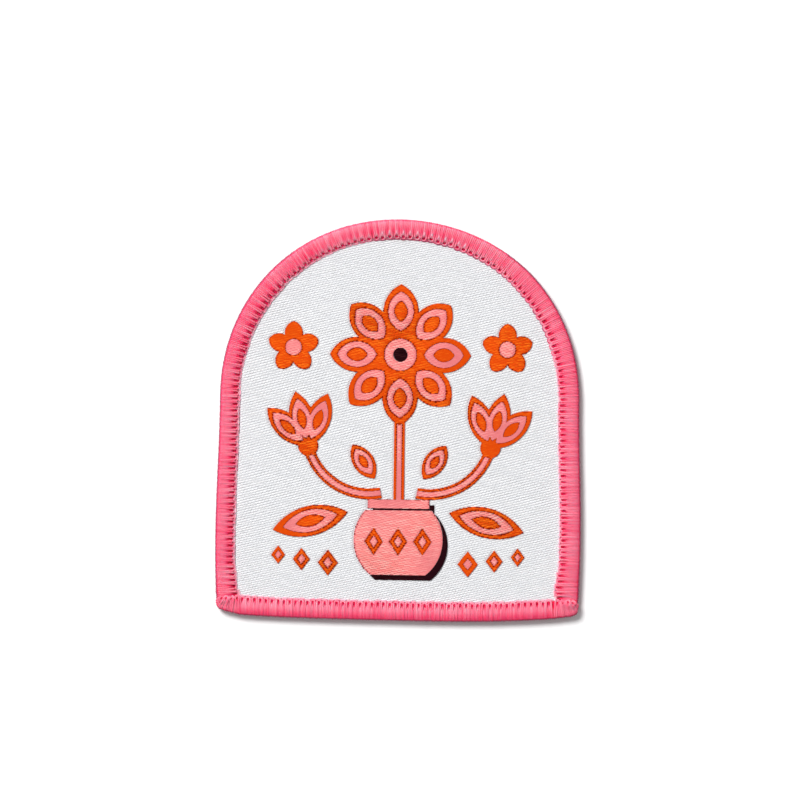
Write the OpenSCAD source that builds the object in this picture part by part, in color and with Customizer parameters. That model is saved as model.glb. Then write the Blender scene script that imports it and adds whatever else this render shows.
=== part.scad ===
// A woven patch with a merrowed edge, lying face up.
// X runs across the patch, Y towards the arch and Z off the surface that it lies on.
// The origin is under the middle of the patch, on the plane of its back.

/* [Outline] */
// Width over the edging, at its widest
patch_w = 69.1; // [66:0.1:74]
// Height over the edging, from the bottom edge to the top of the arch
patch_h = 76; // [73:0.5:82]
// Width over the edging where the arch springs
spring_w = 68.3; // [65:0.1:74]
// Height above the bottom edge where the sides are widest
widest_h = 16; // [8:1:24]
// How far the bottom edge rises from its middle to its corners
bottom_rise = 1.15; // [0:0.05:2]
// Fullness of the arch, where 2 is a plain half circle
arch_square = 2.09; // [2:0.01:2.4]
// Squareness of the lower left corner, where the edging starts and ends
left_square = 3.1; // [2:0.1:12]
// Squareness of the lower right corner
right_square = 9; // [2:0.1:12]

/* [Edging] */
// Width of the edging at the sides and round the arch
band_w = 4.1; // [3.4:0.1:4.5]
// Width of the edging along the bottom
bottom_band_w = 3.8; // [3.4:0.1:4.5]
// Thickness of the edging at its crown
band_t = 2.4; // [2:0.1:3]
// How far the cloth's cut edge lies inside the edging's outer rim
tuck_w = 0.8; // [0.6:0.1:1.5]
// Width of the chain of small loops along the edging's inner side
chain_w = 0.75; // [0.5:0.05:0.9]
// Height of that chain over the cloth
chain_t = 0.5; // [0.3:0.05:0.7]

/* [Cloth] */
// Thickness of the woven cloth
cloth_t = 1.2; // [1:0.1:1.5]
// Thickness of the thread that passes under the cloth's edge
under_t = 0.5; // [0.3:0.05:0.6]
// Free space between the cloth, the thread wound round it and the chain
clearance = 0.1; // [0.05:0.05:0.15]
// Height of the coloured weft over the cloth
weft_t = 0.15; // [0.1:0.05:0.3]
// Free space between one colour of weft and the next
weft_gap = 0.08; // [0.05:0.01:0.15]

/* [Large flower] */
// Number of petals
petal_count = 8; // [6:1:9]
// Length of a petal
petal_len = 10.2; // [8:0.2:11]
// Width of a petal
petal_w = 6.6; // [4:0.2:6.8]
// Radius of the flower's heart
heart_r = 3; // [2.4:0.1:3.2]
// Radius of the dark eye in the heart
eye_r = 1.3; // [0.8:0.1:1.6]

/* [Tulips and blossoms] */
// Length of a tulip's petals
tulip_len = 10.5; // [8:0.5:11]
// Width of a tulip's petals
tulip_w = 4.6; // [3.6:0.2:4.8]
// Angle between neighbouring petals of a tulip
tulip_fan = 34; // [30:1:38]
// Lean of a tulip away from upright
tulip_lean = 14; // [8:1:18]
// Number of petals on a small blossom
blossom_count = 5; // [4:1:6]
// Length of a small blossom's petals
blossom_len = 4.4; // [3.6:0.2:4.8]
// Width of a small blossom's petals
blossom_w = 3.4; // [2.8:0.2:3.6]
// Radius of a small blossom's heart
blossom_heart_r = 1.5; // [1:0.1:1.6]

/* [Stems and vase] */
// Width of a stem
stem_w = 2; // [1.6:0.1:2.4]
// Width of a stem's pink line
stem_line_w = 0.9; // [0.6:0.1:1]
// Radius of the vase's belly
vase_r = 8.4; // [7.6:0.1:8.6]
// How far the vase's shadow falls to the right, and down
shadow_shift = 0.95; // [0.6:0.05:1.2]

/* [Pink lines] */
// Outer edge of the pink line in a petal or leaf, as a share of its size
line_outer = 0.72; // [0.64:0.01:0.76]
// Inner edge of that line, as a share of its size
line_inner = 0.4; // [0.34:0.01:0.46]

/* [Hidden] */
$fn = 96;

ORANGE = "#ff6a13";
PINK = "#ff9aa2";
HOT_PINK = "#ff5c8a";
PLUM = "#2b1020";
WHITE = "#f4f4f2";

top_y = patch_h / 2;
bottom_y = -patch_h / 2;
arch_r = spring_w / 2;
arch_y = top_y - arch_r;
widest_y = bottom_y + widest_h;
inner_corner_r = 0.5;

// Steps along each stretch of the rim
arch_steps = 48;
side_steps = 8;
corner_steps = 9;
bottom_steps = 12;

function mix(from, to, share) = from + (to - from) * share;

// Half the patch's width over the edging at height y, below the arch
function half_width(y) =
    let (turn = 180 * (y - widest_y) / (arch_y - widest_y))
    patch_w / 2 - (patch_w - spring_w) / 4 * (1 - cos(turn));

// Rise of the bottom edge at distance x from the middle
function rise(x) = bottom_rise * pow(abs(x) / (patch_w / 2), 3);

// Point at angle a on a rounded square of half axes rx and ry, where squareness 2 is an ellipse
function squircle(a, rx, ry, squareness) =
    let (sum = pow(abs(cos(a)), squareness) + pow(abs(sin(a)), squareness))
    pow(sum, -1 / squareness) * [rx * cos(a), ry * sin(a)];

// Middle of the turn that the edging's inner side takes at a lower corner, side -1 or 1
corner_rise = rise(patch_w / 2 - band_w - inner_corner_r);
corner_y = bottom_y + bottom_band_w + inner_corner_r + corner_rise;
function corner_x(side) = side * (half_width(corner_y) - band_w - inner_corner_r);

// Distance down from the edging's inner side, on the narrower band along the bottom
function down(out) = out * bottom_band_w / band_w;

// Each of these is one stretch of a line round the patch, at distance out from the edging's
// inner side: 0 is the inner side and band_w the outer rim
function arch_run(out) = [
    for (k = [0 : arch_steps - 1])
        let (r = arch_r - band_w + out)
        [0, arch_y] + squircle(180 * k / arch_steps, r, r, arch_square)
];

function side_run(side, y0, y1, out) = [
    for (k = [0 : side_steps - 1])
        let (y = mix(y0, y1, k / side_steps))
        [side * (half_width(y) - band_w + out), y]
];

function corner_run(side, first_angle, squareness, out) = [
    for (k = [0 : corner_steps - 1])
        let (
            angle = first_angle + 90 * k / corner_steps,
            bend = mix(2, squareness, max(out, 0) / band_w)
        )
        [corner_x(side), corner_y] + squircle(angle, inner_corner_r + out, inner_corner_r + down(out), bend)
];

function bottom_run(out) = [
    for (k = [0 : bottom_steps - 1])
        let (x = mix(corner_x(-1), corner_x(1), k / bottom_steps))
        [x, corner_y - inner_corner_r - corner_rise + rise(x) - down(out)]
];

// The whole line, anticlockwise from the right spring of the arch
function rim(out) = concat(
    arch_run(out),
    side_run(-1, arch_y, corner_y, out),
    corner_run(-1, 180, left_square, out),
    bottom_run(out),
    corner_run(1, 270, right_square, out),
    side_run(1, corner_y, arch_y, out)
);

// Section of the thread wound round the cloth's edge, from the line of needle holes to the rim
needle_out = chain_w + clearance;
slot_out = band_w - tuck_w + clearance;
wound_w = band_w - needle_out;
function wound(share) = needle_out + share * wound_w;
WOUND_SECTION = [
    // out          height
    [needle_out,    cloth_t + clearance],
    [slot_out,      cloth_t + clearance],
    [slot_out,      under_t - clearance],
    [needle_out,    under_t - clearance],
    [wound(0.02),   0.1],
    [wound(0.08),   0],
    [wound(0.68),   0],
    [wound(0.86),   0.18],
    [wound(0.96),   0.6],
    [wound(1.00),   band_t * 0.48],
    [wound(0.97),   band_t * 0.70],
    [wound(0.88),   band_t * 0.88],
    [wound(0.72),   band_t * 0.98],
    [wound(0.55),   band_t],
    [wound(0.36),   band_t * 0.96],
    [wound(0.18),   band_t * 0.88],
    [wound(0.05),   band_t * 0.78],
    [needle_out,    band_t * 0.70]
];

// Section of the chain of small loops that lies on the cloth along the needle holes
CHAIN_SECTION = [
    // out              height
    [0,                 cloth_t],
    [chain_w,           cloth_t],
    [chain_w,           cloth_t + chain_t * 0.6],
    [chain_w * 0.75,    cloth_t + chain_t],
    [chain_w * 0.35,    cloth_t + chain_t],
    [0,                 cloth_t + chain_t * 0.4]
];

// Closed ring that carries a section round the patch
module sweep_round(section) {
    rows = len(section);
    rings = [for (place = section) rim(place[0])];
    steps = len(rings[0]);
    points = [
        for (j = [0 : rows - 1])
            for (i = [0 : steps - 1])
                [rings[j][i][0], rings[j][i][1], section[j][1]]
    ];
    faces = [
        for (j = [0 : rows - 1])
            for (i = [0 : steps - 1])
                let (next_j = (j + 1) % rows, next_i = (i + 1) % steps)
                [j * steps + i, j * steps + next_i, next_j * steps + next_i, next_j * steps + i]
    ];
    polyhedron(points, faces, convexity = 6);
}

// One colour of weft, raised over the cloth
module weft() {
    translate([0, 0, cloth_t]) linear_extrude(weft_t) children();
}

// Both a shape and its mirror image over the patch's upright middle line
module both_sides() {
    children();
    mirror([1, 0]) children();
}

// Pointed oval along +X from its root at the origin to its tip, larger all round by grow
module pointed_oval(length, width, grow = 0) {
    r = (length * length + width * width) / (4 * width);
    translate([length / 2, 0]) intersection() {
        translate([0, width / 2 - r]) circle(r + grow);
        translate([0, r - width / 2]) circle(r + grow);
    }
}

// A pointed oval of a share of the size, in the middle of the whole one
module inner_oval(length, width, share, grow = 0) {
    translate([length * (1 - share) / 2, 0]) pointed_oval(length * share, width * share, grow);
}

// The pink line that runs round inside a petal or leaf
module petal_line(length, width, grow = 0) {
    difference() {
        inner_oval(length, width, line_outer, grow);
        inner_oval(length, width, line_inner, -grow);
    }
}

// Diamond with points to the sides, up and down
module lozenge(across, up, grow = 0) {
    inner_r = across * up / (2 * norm([across, up]));
    scale(1 + grow / inner_r)
        polygon([[across / 2, 0], [0, up / 2], [-across / 2, 0], [0, -up / 2]]);
}

// Large flower
flower_at = [0, 12.4];
petal_root = 3.1;
flower_base_r = 4.8;

module each_petal() {
    translate(flower_at)
        for (k = [0 : petal_count - 1])
            rotate(90 + 360 * k / petal_count) translate([petal_root, 0]) children();
}

module flower_outline(grow = 0) {
    each_petal() pointed_oval(petal_len, petal_w, grow);
    translate(flower_at) circle(flower_base_r + grow);
}

// Tulips, one on each side stem
tulip_at = [17.2, -5];
calyx_r = 1.9;

module each_tulip_petal() {
    both_sides()
        translate(tulip_at)
            for (turn = [-tulip_fan, 0, tulip_fan])
                rotate(90 - tulip_lean + turn) children();
}

module calyxes(grow = 0) {
    both_sides() translate(tulip_at) circle(calyx_r + grow);
}

// Small blossoms, one above each tulip
blossom_at = [20.2, 13.6];
blossom_root = 0.5;

module each_blossom() {
    both_sides() translate(blossom_at) children();
}

module each_blossom_petal() {
    each_blossom()
        for (k = [0 : blossom_count - 1])
            rotate(90 + 360 * k / blossom_count) translate([blossom_root, 0]) children();
}

// Leaves on the right, each drawn on the left too
LEAVES = [
    // x      y      angle  length  width
    [9.6,   -17.4,  -14,    14.5,   5.6],
    [4.6,   -11.0,   56,    7.6,    4.0]
];

module each_leaf() {
    both_sides()
        for (leaf = LEAVES)
            translate([leaf[0], leaf[1]]) rotate(leaf[2]) {
                $leaf_len = leaf[3];
                $leaf_w = leaf[4];
                children();
            }
}

// Vase: a disc cut level at its foot and shoulder, under a lip
vase_at = [0, -22.6];
vase_foot = -6.6;
vase_shoulder = 5.6;
lip_w = 11.6;
lip_h = 1.6;
lip_gap = 0.4;
lip_top = vase_at[1] + vase_shoulder + lip_gap + lip_h;

module vase_outline(grow = 0) {
    translate(vase_at) {
        intersection() {
            circle(vase_r + grow);
            translate([-vase_r - grow, vase_foot - grow])
                square([2 * (vase_r + grow), vase_shoulder - vase_foot + 2 * grow]);
        }
        translate([-lip_w / 2 - grow, vase_shoulder + lip_gap - grow])
            square([lip_w + 2 * grow, lip_h + 2 * grow]);
    }
}

// Stems: the middle one upright, the side ones arcs that end in line with the tulips
stem_foot = [3.4, lip_top + stem_w / 2 + 0.3];

module middle_stem(width) {
    translate([-width / 2, lip_top + weft_gap])
        square([width, flower_at[1] - flower_base_r / 2 - lip_top]);
}

module side_stem(width) {
    run = tulip_at - stem_foot;
    chord_angle = atan2(run[1], run[0]);
    half_turn = 90 - tulip_lean - chord_angle;
    r = norm(run) / (2 * sin(half_turn));
    middle_angle = chord_angle - half_turn + 90;
    far = 2 * r;
    translate(stem_foot + r * [cos(middle_angle), sin(middle_angle)]) intersection() {
        difference() {
            circle(r + width / 2);
            circle(r - width / 2);
        }
        polygon(concat(
            [[0, 0]],
            [
                for (k = [0 : 2])
                    let (angle = middle_angle + 180 + k * half_turn)
                    far * [cos(angle), sin(angle)]
            ]
        ));
    }
}

module stems(width) {
    middle_stem(width);
    both_sides() side_stem(width);
}

// Lozenges on the vase and along the foot of the picture, each with a pink heart
vase_lozenge_pitch = 4.6;
LOZENGES = [
    // x                    y                   across  up
    [0,                     vase_at[1] - 0.3,   3.4,    5.2],
    [vase_lozenge_pitch,    vase_at[1] - 0.3,   3.4,    5.2],
    [-vase_lozenge_pitch,   vase_at[1] - 0.3,   3.4,    5.2],
    [13.2,                  -27.0,              3.8,    4.9],
    [-13.2,                 -27.0,              3.8,    4.9],
    [18.2,                  -26.4,              3.2,    4.2],
    [-18.2,                 -26.4,              3.2,    4.2],
    [22.6,                  -25.6,              2.6,    3.4],
    [-22.6,                 -25.6,              2.6,    3.4]
];
lozenge_heart = 0.42;

module lozenges(share = 1, grow = 0) {
    for (spot = LOZENGES)
        translate([spot[0], spot[1]]) lozenge(spot[2] * share, spot[3] * share, grow);
}

// Everything that is orange or has orange round it
module orange_outlines() {
    flower_outline();
    each_tulip_petal() pointed_oval(tulip_len, tulip_w);
    calyxes();
    each_blossom_petal() pointed_oval(blossom_len, blossom_w);
    each_leaf() pointed_oval($leaf_len, $leaf_w);
    stems(stem_w);
}

// Pink that lies within the orange shapes
module pink_lines(grow = 0) {
    each_petal() petal_line(petal_len, petal_w, grow);
    each_tulip_petal() petal_line(tulip_len, tulip_w, grow);
    each_leaf() petal_line($leaf_len, $leaf_w, grow);
    each_blossom() circle(blossom_heart_r + grow);
    translate(flower_at) circle(heart_r + grow);
    difference() {
        stems(stem_line_w + 2 * grow);
        calyxes(weft_gap - grow);
        flower_outline(weft_gap - grow);
    }
}

// Plum: the flower's eye and the shadow that the vase throws
module eye(grow = 0) {
    translate(flower_at) circle(eye_r + grow);
}

module vase_shadow() {
    difference() {
        translate([shadow_shift, -shadow_shift]) vase_outline();
        vase_outline(weft_gap);
    }
}

module ground_cloth() {
    color(WHITE) union() {
        linear_extrude(cloth_t) polygon(rim(needle_out - clearance));
        translate([0, 0, under_t]) linear_extrude(cloth_t - under_t) polygon(rim(band_w - tuck_w));
    }
}

module merrowed_edge() {
    color(HOT_PINK) sweep_round(WOUND_SECTION);
}

module purl_chain() {
    color(HOT_PINK) sweep_round(CHAIN_SECTION);
}

module orange_weft() {
    color(ORANGE) weft() {
        difference() {
            orange_outlines();
            pink_lines(weft_gap);
        }
        difference() {
            lozenges();
            lozenges(lozenge_heart, weft_gap);
        }
    }
}

module pink_weft() {
    color(PINK) weft() {
        difference() {
            pink_lines();
            eye(weft_gap);
        }
        difference() {
            vase_outline();
            lozenges(1, weft_gap);
        }
        lozenges(lozenge_heart);
    }
}

module plum_weft() {
    color(PLUM) weft() {
        eye();
        vase_shadow();
    }
}

ground_cloth();
merrowed_edge();
purl_chain();
orange_weft();
pink_weft();
plum_weft();
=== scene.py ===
"""A woven patch with a merrowed edge, lying face up on a pale table.

The cloth is laid pick by pick over a chart of flowers in a vase, and the edging turn by turn
round the cloth's edge. Sizes in the classes are in millimetres, as a maker would give them,
and turn to metres where a mesh is made.
"""

import logging
import math
from dataclasses import dataclass, field
from enum import Enum
from typing import Any, Sequence

import bpy
import numpy as np
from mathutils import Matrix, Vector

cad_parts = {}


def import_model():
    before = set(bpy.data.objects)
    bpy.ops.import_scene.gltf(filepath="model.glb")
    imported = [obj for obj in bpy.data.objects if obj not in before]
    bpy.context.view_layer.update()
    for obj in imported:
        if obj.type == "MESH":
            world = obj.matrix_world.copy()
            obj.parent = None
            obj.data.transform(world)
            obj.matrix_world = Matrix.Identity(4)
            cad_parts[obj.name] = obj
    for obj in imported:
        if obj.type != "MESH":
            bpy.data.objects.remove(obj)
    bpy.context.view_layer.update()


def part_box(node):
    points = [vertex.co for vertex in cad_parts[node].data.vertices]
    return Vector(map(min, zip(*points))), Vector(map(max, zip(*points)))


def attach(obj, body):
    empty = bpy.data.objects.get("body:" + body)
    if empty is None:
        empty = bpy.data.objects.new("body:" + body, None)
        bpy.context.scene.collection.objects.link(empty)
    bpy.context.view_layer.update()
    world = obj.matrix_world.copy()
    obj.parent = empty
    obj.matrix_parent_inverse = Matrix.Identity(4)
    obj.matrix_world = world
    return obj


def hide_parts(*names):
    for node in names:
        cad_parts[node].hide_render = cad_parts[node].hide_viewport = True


MM = 0.001

Colour = tuple[float, float, float]
Points = np.ndarray

log = logging.getLogger("woven_patch")


def dye(red: int, green: int, blue: int) -> Colour:
    """Turn a colour as a screen shows it into the linear one that a shader takes.

    Args:
        red: Red, from 0 to 255.
        green: Green, from 0 to 255.
        blue: Blue, from 0 to 255.

    Returns:
        The linear colour, each part from 0 to 1.
    """
    def linear(part: int) -> float:
        """One part of the colour, linear."""
        share = part / 255
        return share / 12.92 if share <= 0.04045 else ((share + 0.055) / 1.055) ** 2.4

    return linear(red), linear(green), linear(blue)


def ease(share: np.ndarray | float) -> np.ndarray | float:
    """Smooth a share so that it leaves 0 and reaches 1 gently."""
    held = np.clip(share, 0.0, 1.0)
    return held * held * (3 - 2 * held)


def mix(start: Any, end: Any, share: Any) -> Any:
    """The value at a share of the way from start to end."""
    return start + (end - start) * share


class Wire:
    """A node's output that takes part in Python sums, each of which adds a Math node."""

    def __init__(self, graph: "Graph", socket: bpy.types.NodeSocket) -> None:
        """Wrap an output socket of one of the graph's nodes."""
        self.graph = graph
        self.socket = socket

    def _sum(self, operation: str, first: Any, second: Any) -> "Wire":
        """Add a Math node on two values, each a wire or a number, and give the result's wire."""
        node = self.graph.add("ShaderNodeMath", {"operation": operation}, {0: first, 1: second})
        return self.graph.out(node)

    def __add__(self, other: Any) -> "Wire":
        """This plus the other."""
        return self._sum("ADD", self, other)

    def __radd__(self, other: Any) -> "Wire":
        """The other plus this."""
        return self._sum("ADD", other, self)

    def __sub__(self, other: Any) -> "Wire":
        """This less the other."""
        return self._sum("SUBTRACT", self, other)

    def __rsub__(self, other: Any) -> "Wire":
        """The other less this."""
        return self._sum("SUBTRACT", other, self)

    def __mul__(self, other: Any) -> "Wire":
        """This times the other."""
        return self._sum("MULTIPLY", self, other)

    def __rmul__(self, other: Any) -> "Wire":
        """The other times this."""
        return self._sum("MULTIPLY", other, self)

    def angle_to(self, other: Any) -> "Wire":
        """Angle whose sine part is this and whose cosine part is the other."""
        return self._sum("ARCTAN2", self, other)

    def sine(self) -> "Wire":
        """Sine of this, in radians."""
        return self._sum("SINE", self, 0.0)

    def size(self) -> "Wire":
        """This without its sign."""
        return self._sum("ABSOLUTE", self, 0.0)


class Graph:
    """A node tree that is built by calls, for shaders and for geometry alike."""

    def __init__(self, tree: bpy.types.NodeTree) -> None:
        """Take a node tree and clear its nodes."""
        self.tree = tree
        tree.nodes.clear()

    def add(
        self,
        kind: str,
        settings: dict[str, Any] | None = None,
        inputs: dict[str | int, Any] | None = None,
    ) -> bpy.types.Node:
        """Add a node, set it up and feed its sockets.

        Args:
            kind: The node's type.
            settings: Values of the node's own settings, which are set first.
            inputs: Values or wires of its input sockets, by name or by number.

        Returns:
            The node.
        """
        node = self.tree.nodes.new(kind)
        for name, value in (settings or {}).items():
            setattr(node, name, value)
        for key, value in (inputs or {}).items():
            socket = self._pick(node.inputs, key)
            if isinstance(value, Wire):
                self.tree.links.new(value.socket, socket)
            else:
                socket.default_value = value
        return node

    def ramp(self, factor: Wire, stops: Sequence[tuple[float, Colour]]) -> Wire:
        """Add a colour ramp.

        Args:
            factor: What runs along the ramp.
            stops: Places from 0 to 1 and the colours there.

        Returns:
            The ramp's colour.
        """
        node = self.add("ShaderNodeValToRGB", None, {"Fac": factor})
        elements = node.color_ramp.elements
        while len(elements) < len(stops):
            elements.new(0.5)
        for element, (place, colour) in zip(elements, stops):
            element.position = place
            element.color = (*colour, 1.0)
        return self.out(node, "Color")

    def out(self, node: bpy.types.Node, key: str | int = 0) -> Wire:
        """The wire from one of a node's outputs."""
        return Wire(self, self._pick(node.outputs, key))

    def place(self) -> Wire:
        """The wire of the Object coordinates."""
        return self.out(self.add("ShaderNodeTexCoord"), "Object")

    def carried(self, name: str) -> Wire:
        """The wire of a number that the mesh carries."""
        return self.out(self.add("ShaderNodeAttribute", {"attribute_name": name}), "Fac")

    def lint(self, place: Wire, per_m: float, detail: float) -> Wire:
        """The wire of fine noise, so many specks to the metre."""
        inputs = {"Vector": place, "Scale": per_m, "Detail": detail}
        return self.out(self.add("ShaderNodeTexNoise", None, inputs))

    def bump(self, height: Wire, relief_mm: float) -> Wire:
        """The wire of a normal that a height bends, with a relief in millimetres."""
        inputs = {"Strength": 1.0, "Distance": relief_mm * MM, "Height": height}
        return self.out(self.add("ShaderNodeBump", None, inputs))

    @staticmethod
    def _pick(sockets: Any, key: str | int) -> bpy.types.NodeSocket:
        """Find a socket by number, or by name among those in use.

        Args:
            sockets: The node's inputs or outputs.
            key: The socket's number or name.

        Returns:
            The socket.
        """
        if isinstance(key, int):
            return sockets[key]
        return next(socket for socket in sockets if socket.name == key and socket.enabled)


class Shade(Enum):
    """The colours that the chart holds. The value is the number that stands for it on the chart."""

    WHITE = 0
    ORANGE = 1
    PINK = 2
    PLUM = 3
    CONTOUR = 4


@dataclass(frozen=True)
class Finish:
    """A finish, whose material is one principled shader."""

    name: str

    def sockets(self, graph: Graph) -> dict[str, Any]:
        """The values and wires of the shader's sockets, by name."""
        raise NotImplementedError

    def material(self) -> bpy.types.Material:
        """Make the finish's material.

        Returns:
            The material.
        """
        material = bpy.data.materials.new(self.name)
        material.use_nodes = True
        graph = Graph(material.node_tree)
        shader = graph.add("ShaderNodeBsdfPrincipled", None, self.sockets(graph))
        graph.add("ShaderNodeOutputMaterial", None, {"Surface": graph.out(shader)})
        return material


@dataclass(frozen=True)
class ThreadFinish(Finish):
    """Dyed polyester thread, with filaments that run along it.

    The mesh carries the attributes shade, from 0 to 1, which holds the thread's own tone, that varies
    from thread to thread, and on the edging also painted light and shade, and, where filaments is set,
    along in millimetres and around_x and around_y on a circle. From 0 on, shade runs through
    painted_shade_colour and painted_hollow, where they are set, which are painted shade, and deep to
    light, and lint_share of it is lint, which also bends the filaments by up to wander, in radians.
    Light goes through_mm deep into the share let_through of the thread.
    """

    deep: Colour
    light: Colour
    roughness: float = 0.55
    sheen: float = 0.25
    filaments: int = 0
    twist_per_mm: float = 0.9
    relief_mm: float = 0.02
    painted_shade_colour: Colour | None = None
    painted_hollow: Colour | None = None
    gloss: float = 0.5
    let_through: float = 0.0
    through_mm: float = 0.3
    through_colour: Colour = (1.0, 0.3, 0.4)
    sheen_roughness: float = 0.4
    lint_per_m: float = 9000.0
    lint_detail: float = 3.0
    lint_share: float = 0.2
    lint_height: float = 0.6
    filament_height: float = 0.5
    wander: float = 2.0
    painted_shade_at: float = 0.13
    painted_hollow_at: float = 0.22
    deep_at: float = 0.34

    def sockets(self, graph: Graph) -> dict[str, Any]:
        """Colour the thread by its shade, with filaments that twist round it.

        Args:
            graph: The material's graph.

        Returns:
            The values and wires of the shader's sockets.
        """
        lint = graph.lint(graph.place(), self.lint_per_m, self.lint_detail)
        stops = [(self.deep_at, self.deep), (1.0, self.light)]
        # painted_hollow and painted_shade_colour, where set, are painted shade at the deep end of the ramp
        if self.painted_hollow is not None:
            stops.insert(0, (self.painted_hollow_at, self.painted_hollow))
        if self.painted_shade_colour is not None:
            stops.insert(0, (self.painted_shade_at, self.painted_shade_colour))
        shade = graph.carried("shade") * (1 - self.lint_share) + lint * self.lint_share
        height = lint
        if self.filaments:
            around = graph.carried("around_y").angle_to(graph.carried("around_x"))
            twist = graph.carried("along") * (math.tau * self.twist_per_mm)
            ridge = (around * float(self.filaments) + twist + lint * self.wander).sine()
            height = ridge * self.filament_height + lint * self.lint_height
        return {
            "Base Color": graph.ramp(shade, stops),
            "Roughness": self.roughness,
            "Specular IOR Level": self.gloss,
            "Sheen Weight": self.sheen,
            "Sheen Roughness": self.sheen_roughness,
            "Subsurface Weight": self.let_through,
            "Subsurface Radius": self.through_colour,
            "Subsurface Scale": self.through_mm * MM,
            "Normal": graph.bump(height, self.relief_mm),
        }


@dataclass(frozen=True)
class ClothFinish(Finish):
    """The cloth under the picks: the gaps that show between them, and the patch's back. Its colour
    runs from gap where the weave lies low to bright where it lies high, a painted shade.
    """

    gap: Colour
    bright: Colour
    end_mm: float = 0.225
    pick_mm: float = 0.181
    roughness: float = 0.75
    relief_mm: float = 0.04
    sheen: float = 0.2
    gloss: float = 0.5
    lint_per_m: float = 2500.0
    lint_detail: float = 4.0
    lint_height: float = 0.4
    weave_height: float = 0.8
    gap_at: float = 0.1

    def sockets(self, graph: Graph) -> dict[str, Any]:
        """Colour the cloth by a plain over and under weave on Object coordinates, painted darker where
        the weave lies low.

        Args:
            graph: The material's graph.

        Returns:
            The values and wires of the shader's sockets.
        """
        place = graph.place()
        parts = graph.add("ShaderNodeSeparateXYZ", None, {0: place})
        ends = graph.out(parts, "X") * (math.pi / (self.end_mm * MM))
        picks = graph.out(parts, "Y") * (math.pi / (self.pick_mm * MM))
        weave = (ends.sine() * picks.sine()).size()
        lint = graph.lint(place, self.lint_per_m, self.lint_detail)
        height = weave * self.weave_height + lint * self.lint_height
        # The weave's height runs the colour from gap to bright: painted shade where it lies low
        return {
            "Base Color": graph.ramp(height, [(self.gap_at, self.gap), (1.0, self.bright)]),
            "Roughness": self.roughness,
            "Specular IOR Level": self.gloss,
            "Sheen Weight": self.sheen,
            "Normal": graph.bump(height, self.relief_mm),
        }


@dataclass(frozen=True)
class TableFinish(Finish):
    """The plain pale table."""

    name: str = "pale_table"
    colour: Colour = (0.98, 0.98, 0.98)
    roughness: float = 0.9
    gloss: float = 0.1

    def sockets(self, graph: Graph) -> dict[str, Any]:
        """One plain colour."""
        colour = (*self.colour, 1.0)
        return {"Base Color": colour, "Roughness": self.roughness, "Specular IOR Level": self.gloss}


# painted_shade_colour is painted shade round the rim and underneath, and painted_hollow is painted shade in
# the needle holes and between the legs
EDGE_THREAD = ThreadFinish(
    "pink_edging_thread", dye(250, 66, 108), dye(255, 156, 174), 0.55, 0.0, 7, 0.7, 0.02,
    painted_shade_colour=dye(164, 72, 100), painted_hollow=dye(255, 36, 86), gloss=0.2, let_through=0.7)
# Its painted_shade_colour is painted shade on the loops' tips where the inner side lies in the shade
LOOP_THREAD = ThreadFinish(
    "pale_loop_thread", dye(250, 80, 120), dye(255, 222, 232), 0.55, 0.0, 7, 0.7, 0.02,
    painted_shade_colour=dye(184, 84, 116), gloss=0.2, let_through=0.7, through_mm=0.22)
# A real thread, whose deep crimson is painted shade for the needle holes
NEEDLE_THREAD = ThreadFinish(
    "crimson_needle_thread", dye(212, 12, 66), dye(236, 36, 98), 0.7, 0.0, gloss=0.1)
# Thread under the turns, whose deep crimson where it shows in the holes and between the legs is painted
# shade
EDGE_BED = ThreadFinish(
    "deep_pink_bed", dye(240, 20, 74), dye(255, 132, 160), 0.8, 0.0, gloss=0.1, let_through=0.6)
WHITE_PICK = ThreadFinish("white_pick", dye(249, 250, 252), dye(255, 255, 255), 0.5, 0.3)
ORANGE_PICK = ThreadFinish("orange_pick", dye(230, 86, 20), dye(255, 136, 34), 0.6, 0.0, gloss=0.0)
PINK_PICK = ThreadFinish("pink_pick", dye(255, 157, 151), dye(255, 202, 192), 0.6, 0.0, gloss=0.05)
PLUM_PICK = ThreadFinish("plum_pick", dye(40, 12, 15), dye(68, 28, 32), 0.6, 0.0, gloss=0.0)
CONTOUR_PICK = ThreadFinish("contour_pick", dye(130, 22, 6), dye(166, 42, 14), 0.6, 0.0, gloss=0.0)
# The cloth under the picks is deeper than the picks, and deeper still where its weave lies low: painted
# shade
WHITE_CLOTH = ClothFinish("white_cloth", dye(182, 182, 187), dye(230, 230, 233))
ORANGE_CLOTH = ClothFinish("orange_cloth", dye(200, 58, 8), dye(232, 86, 14), sheen=0.0, gloss=0.0)
PINK_CLOTH = ClothFinish("pink_cloth", dye(208, 100, 104), dye(242, 140, 142), sheen=0.0, gloss=0.0)
PLUM_CLOTH = ClothFinish("plum_cloth", dye(26, 6, 12), dye(44, 14, 22), sheen=0.0, gloss=0.0)


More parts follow.
